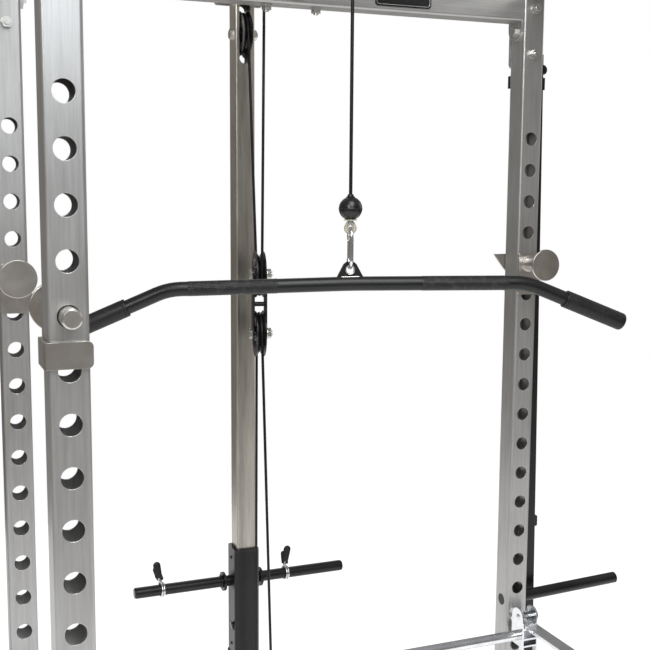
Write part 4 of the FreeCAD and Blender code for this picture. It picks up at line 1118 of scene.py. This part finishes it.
def squareRoute(at, half, corner, look):
    # round the foot of an upright tube
    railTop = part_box("upright_front_left")[0].z
    foot = Vector((at.x, at.y, railTop + look["footThick"]))
    return boxRoute(foot, half, half, xAxis, yAxis, corner, look["step"])


routes = []
for corner in ("front_left", "front_right", "rear_left", "rear_right"):
    at = middle("upright_" + corner)
    routes.append(squareRoute(at, weldSet["tubeHalf"], weldSet["tubeCorner"], weldSet))
footBeads = merged([weldBead(route, weldSet) for route in routes])
addPiece("footWelds", *footBeads, "tubeZ", "frame", "frame_satin")

towerAt = middle("tower")
foot = Vector((0, towerAt.y, 0))
route = squareRoute(foot, weldSet["towerHalf"], weldSet["towerCorner"], weldSet)
addPiece("towerWeld", *weldBead(route, weldSet), "towerZ", "frame", "tower_brushed")

hornMiddle = middle("plate_horns")
routes = []
for side in (-1, 1):
    root = Vector((side * weldSet["flangeReach"], hornMiddle.y, hornMiddle.z))
    routes.append(circleRoute(root, weldSet["hornRadius"], xAxis, weldSet["step"]))
hornBeads = merged([weldBead(route, weldSet) for route in routes])
addPiece("hornWelds", *hornBeads, "black_coat", "carriage", "black_coat")

hookBodies = {
    "bar_hook_front_left": ("front_left_hook", 1),
    "bar_hook_front_right": ("front_right_hook", 1),
    "bar_hook_rear_left": ("rear_left_hook", -1),
    "bar_hook_rear_right": ("rear_right_hook", -1),
}
hookSet = {"plate": 0.0305, "peg": 0.015, "weldOut": 0.0004, "pegLength": 0.058, "height": 1.536}
pegWeld = hookSet["peg"] + hookSet["weldOut"]
for node, (body, inward) in hookBodies.items():
    upright = middle(node.replace("bar_hook", "upright"))
    root = Vector((upright.x, upright.y + inward * hookSet["plate"], hookSet["height"]))
    tip = root + yAxis * (inward * hookSet["pegLength"])
    routes = [circleRoute(spot, pegWeld, yAxis, weldSet["step"]) for spot in (root, tip)]
    beads = merged([weldBead(route, weldSet) for route in routes])
    label = "".join(word.capitalize() for word in node.split("_")[2:])
    addPiece("hookWelds" + label, *beads, "hook_nickel", body, "hook_nickel")
print("welds laid")


screwSet = {
    "radius": 0.0042,
    "rise": 0.0022,
    "dome": 70,            # degrees of the head's curve
    "crown": 0.55,
    "socket": 0.0019,
    "mouth": 1.15,         # the socket's mouth against its depth
    "deep": 0.0012,
    "fromEnd": 0.020,
}


def buttonScrew(face, direction, look):
    # a domed head with a hexagon socket
    profile = [(-0.001, 0.0), (-0.001, look["radius"])]
    for k in range(7):
        turn = math.radians(look["dome"] * k / 6)
        radius = look["radius"] * (1 - look["crown"] * (k / 6) ** 2)
        profile.append((look["rise"] * math.sin(turn), radius))
    rise = profile[-1][0]
    mouth = look["socket"] * look["mouth"]
    floor = rise - look["deep"]
    head = lathe(profile[:-1] + [(rise, mouth)], face, direction, 24)
    socket = lathe([(rise, mouth), (floor, look["socket"]), (floor, 0.0)], face, direction, 6)
    return merged([head, socket])


sleeveLow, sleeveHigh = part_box("carriage_sleeve")
sleeveFace = (sleeveHigh.x - sleeveLow.x) / 2
screws = []
for side in (-1, 1):
    for z in (sleeveLow.z + screwSet["fromEnd"], sleeveHigh.z - screwSet["fromEnd"]):
        face = Vector((side * sleeveFace, towerAt.y, z))
        screws.append(buttonScrew(face, xAxis * side, screwSet))
addPiece("sleeveScrews", *merged(screws), "black_coat", "carriage", "black_coat")

latchSet = {
    "out": 0.0075,
    "height": 0.022,
    "wide": 0.012,
    "up": 0.058,
    "forward": 0.012,
    "sunk": 0.0006,
    "taper": 0.86,
    "outline": [(0.0, 0.0), (0.35, 0.05), (0.75, 0.45), (1.0, 0.95),
                (0.85, 1.0), (0.45, 0.8), (0.0, 0.72)],     # out and up, as parts of the whole
    "edges": (-0.5, -0.42, 0.42, 0.5),
}


def latch(look):
    # a small thumb lever on the sleeve's left face
    vertices = []
    for edge in look["edges"]:
        shrink = look["taper"] if abs(edge) == 0.5 else 1.0
        y = towerAt.y - look["forward"] + look["wide"] * edge
        for out, up in look["outline"]:
            x = -sleeveFace + look["sunk"] - look["out"] * out * shrink
            z = sleeveLow.z + look["up"] + look["height"] * (0.5 + (up - 0.5) * shrink)
            vertices.append(Vector((x, y, z)))
    count = len(look["outline"])
    rings = [list(range(k * count, (k + 1) * count)) for k in range(len(look["edges"]))]
    return vertices, joinRings(rings) + [list(reversed(rings[0])), rings[-1]]


addPiece("sleeveLatch", *latch(latchSet), "black_plastic", "carriage", "black_plastic")


plugSet = {
    "radius": 0.0117,
    "rise": 0.0016,
    "sunk": 0.002,
    "edge": 0.0004,
    "crown": 0.12,
    "storageTilt": 2.0,      # of the storage horns, degrees
    "storageBack": 0.0002,   # from the horn's farthest point
    "storageDrop": 0.01249,  # from its highest point to its middle
}


def plug(tip, direction, look):
    radius = look["radius"]
    profile = [(-look["sunk"], 0.0), (-look["sunk"], radius), (look["edge"], radius)]
    for k in range(1, 7):
        turn = math.radians(90 * k / 6)
        wide = radius * (1 - look["crown"] * math.sin(turn)) if k < 6 else 0.0
        profile.append((look["rise"] * math.sin(turn), wide))
    return lathe(profile, tip, direction, 40)


hornLow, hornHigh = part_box("plate_horns")
plugs = [plug(Vector((x, hornMiddle.y, hornMiddle.z)), direction, plugSet)
         for x, direction in ((hornLow.x, -xAxis), (hornHigh.x, xAxis))]
addPiece("hornPlugs", *merged(plugs), "black_plastic", "carriage", "black_plastic")

storageTilt = math.radians(plugSet["storageTilt"])
storageLow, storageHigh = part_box("storage_horns")
plugs = []
for side, reach in ((-1, storageLow.x), (1, storageHigh.x)):
    direction = Vector((side * math.cos(storageTilt), 0, math.sin(storageTilt)))
    tip = Vector((reach, middle("storage_horns").y, storageHigh.z))
    tip -= Vector((side * plugSet["storageBack"], 0, plugSet["storageDrop"]))
    plugs.append(plug(tip, direction, plugSet))
addPiece("storagePlugs", *merged(plugs), "black_plastic", "frame", "black_plastic")

labelSet = {"inset": 0.0035, "wire": 0.0006, "corner": 0.005, "step": 0.004}


def labelBorder(look):
    low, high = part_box("label_plate")
    centre = (low + high) / 2
    face = Vector((centre.x, low.y, centre.z))
    halfWide = (high.x - low.x) / 2 - look["inset"]
    halfTall = (high.z - low.z) / 2 - look["inset"]
    route = boxRoute(face, halfWide, halfTall, xAxis, zAxis, look["corner"], look["step"])
    return tube(route, look["wire"], 8, closed=True)


addPiece("labelBorder", *labelBorder(labelSet), "zinc", "frame", "zinc")
print("small fittings added")
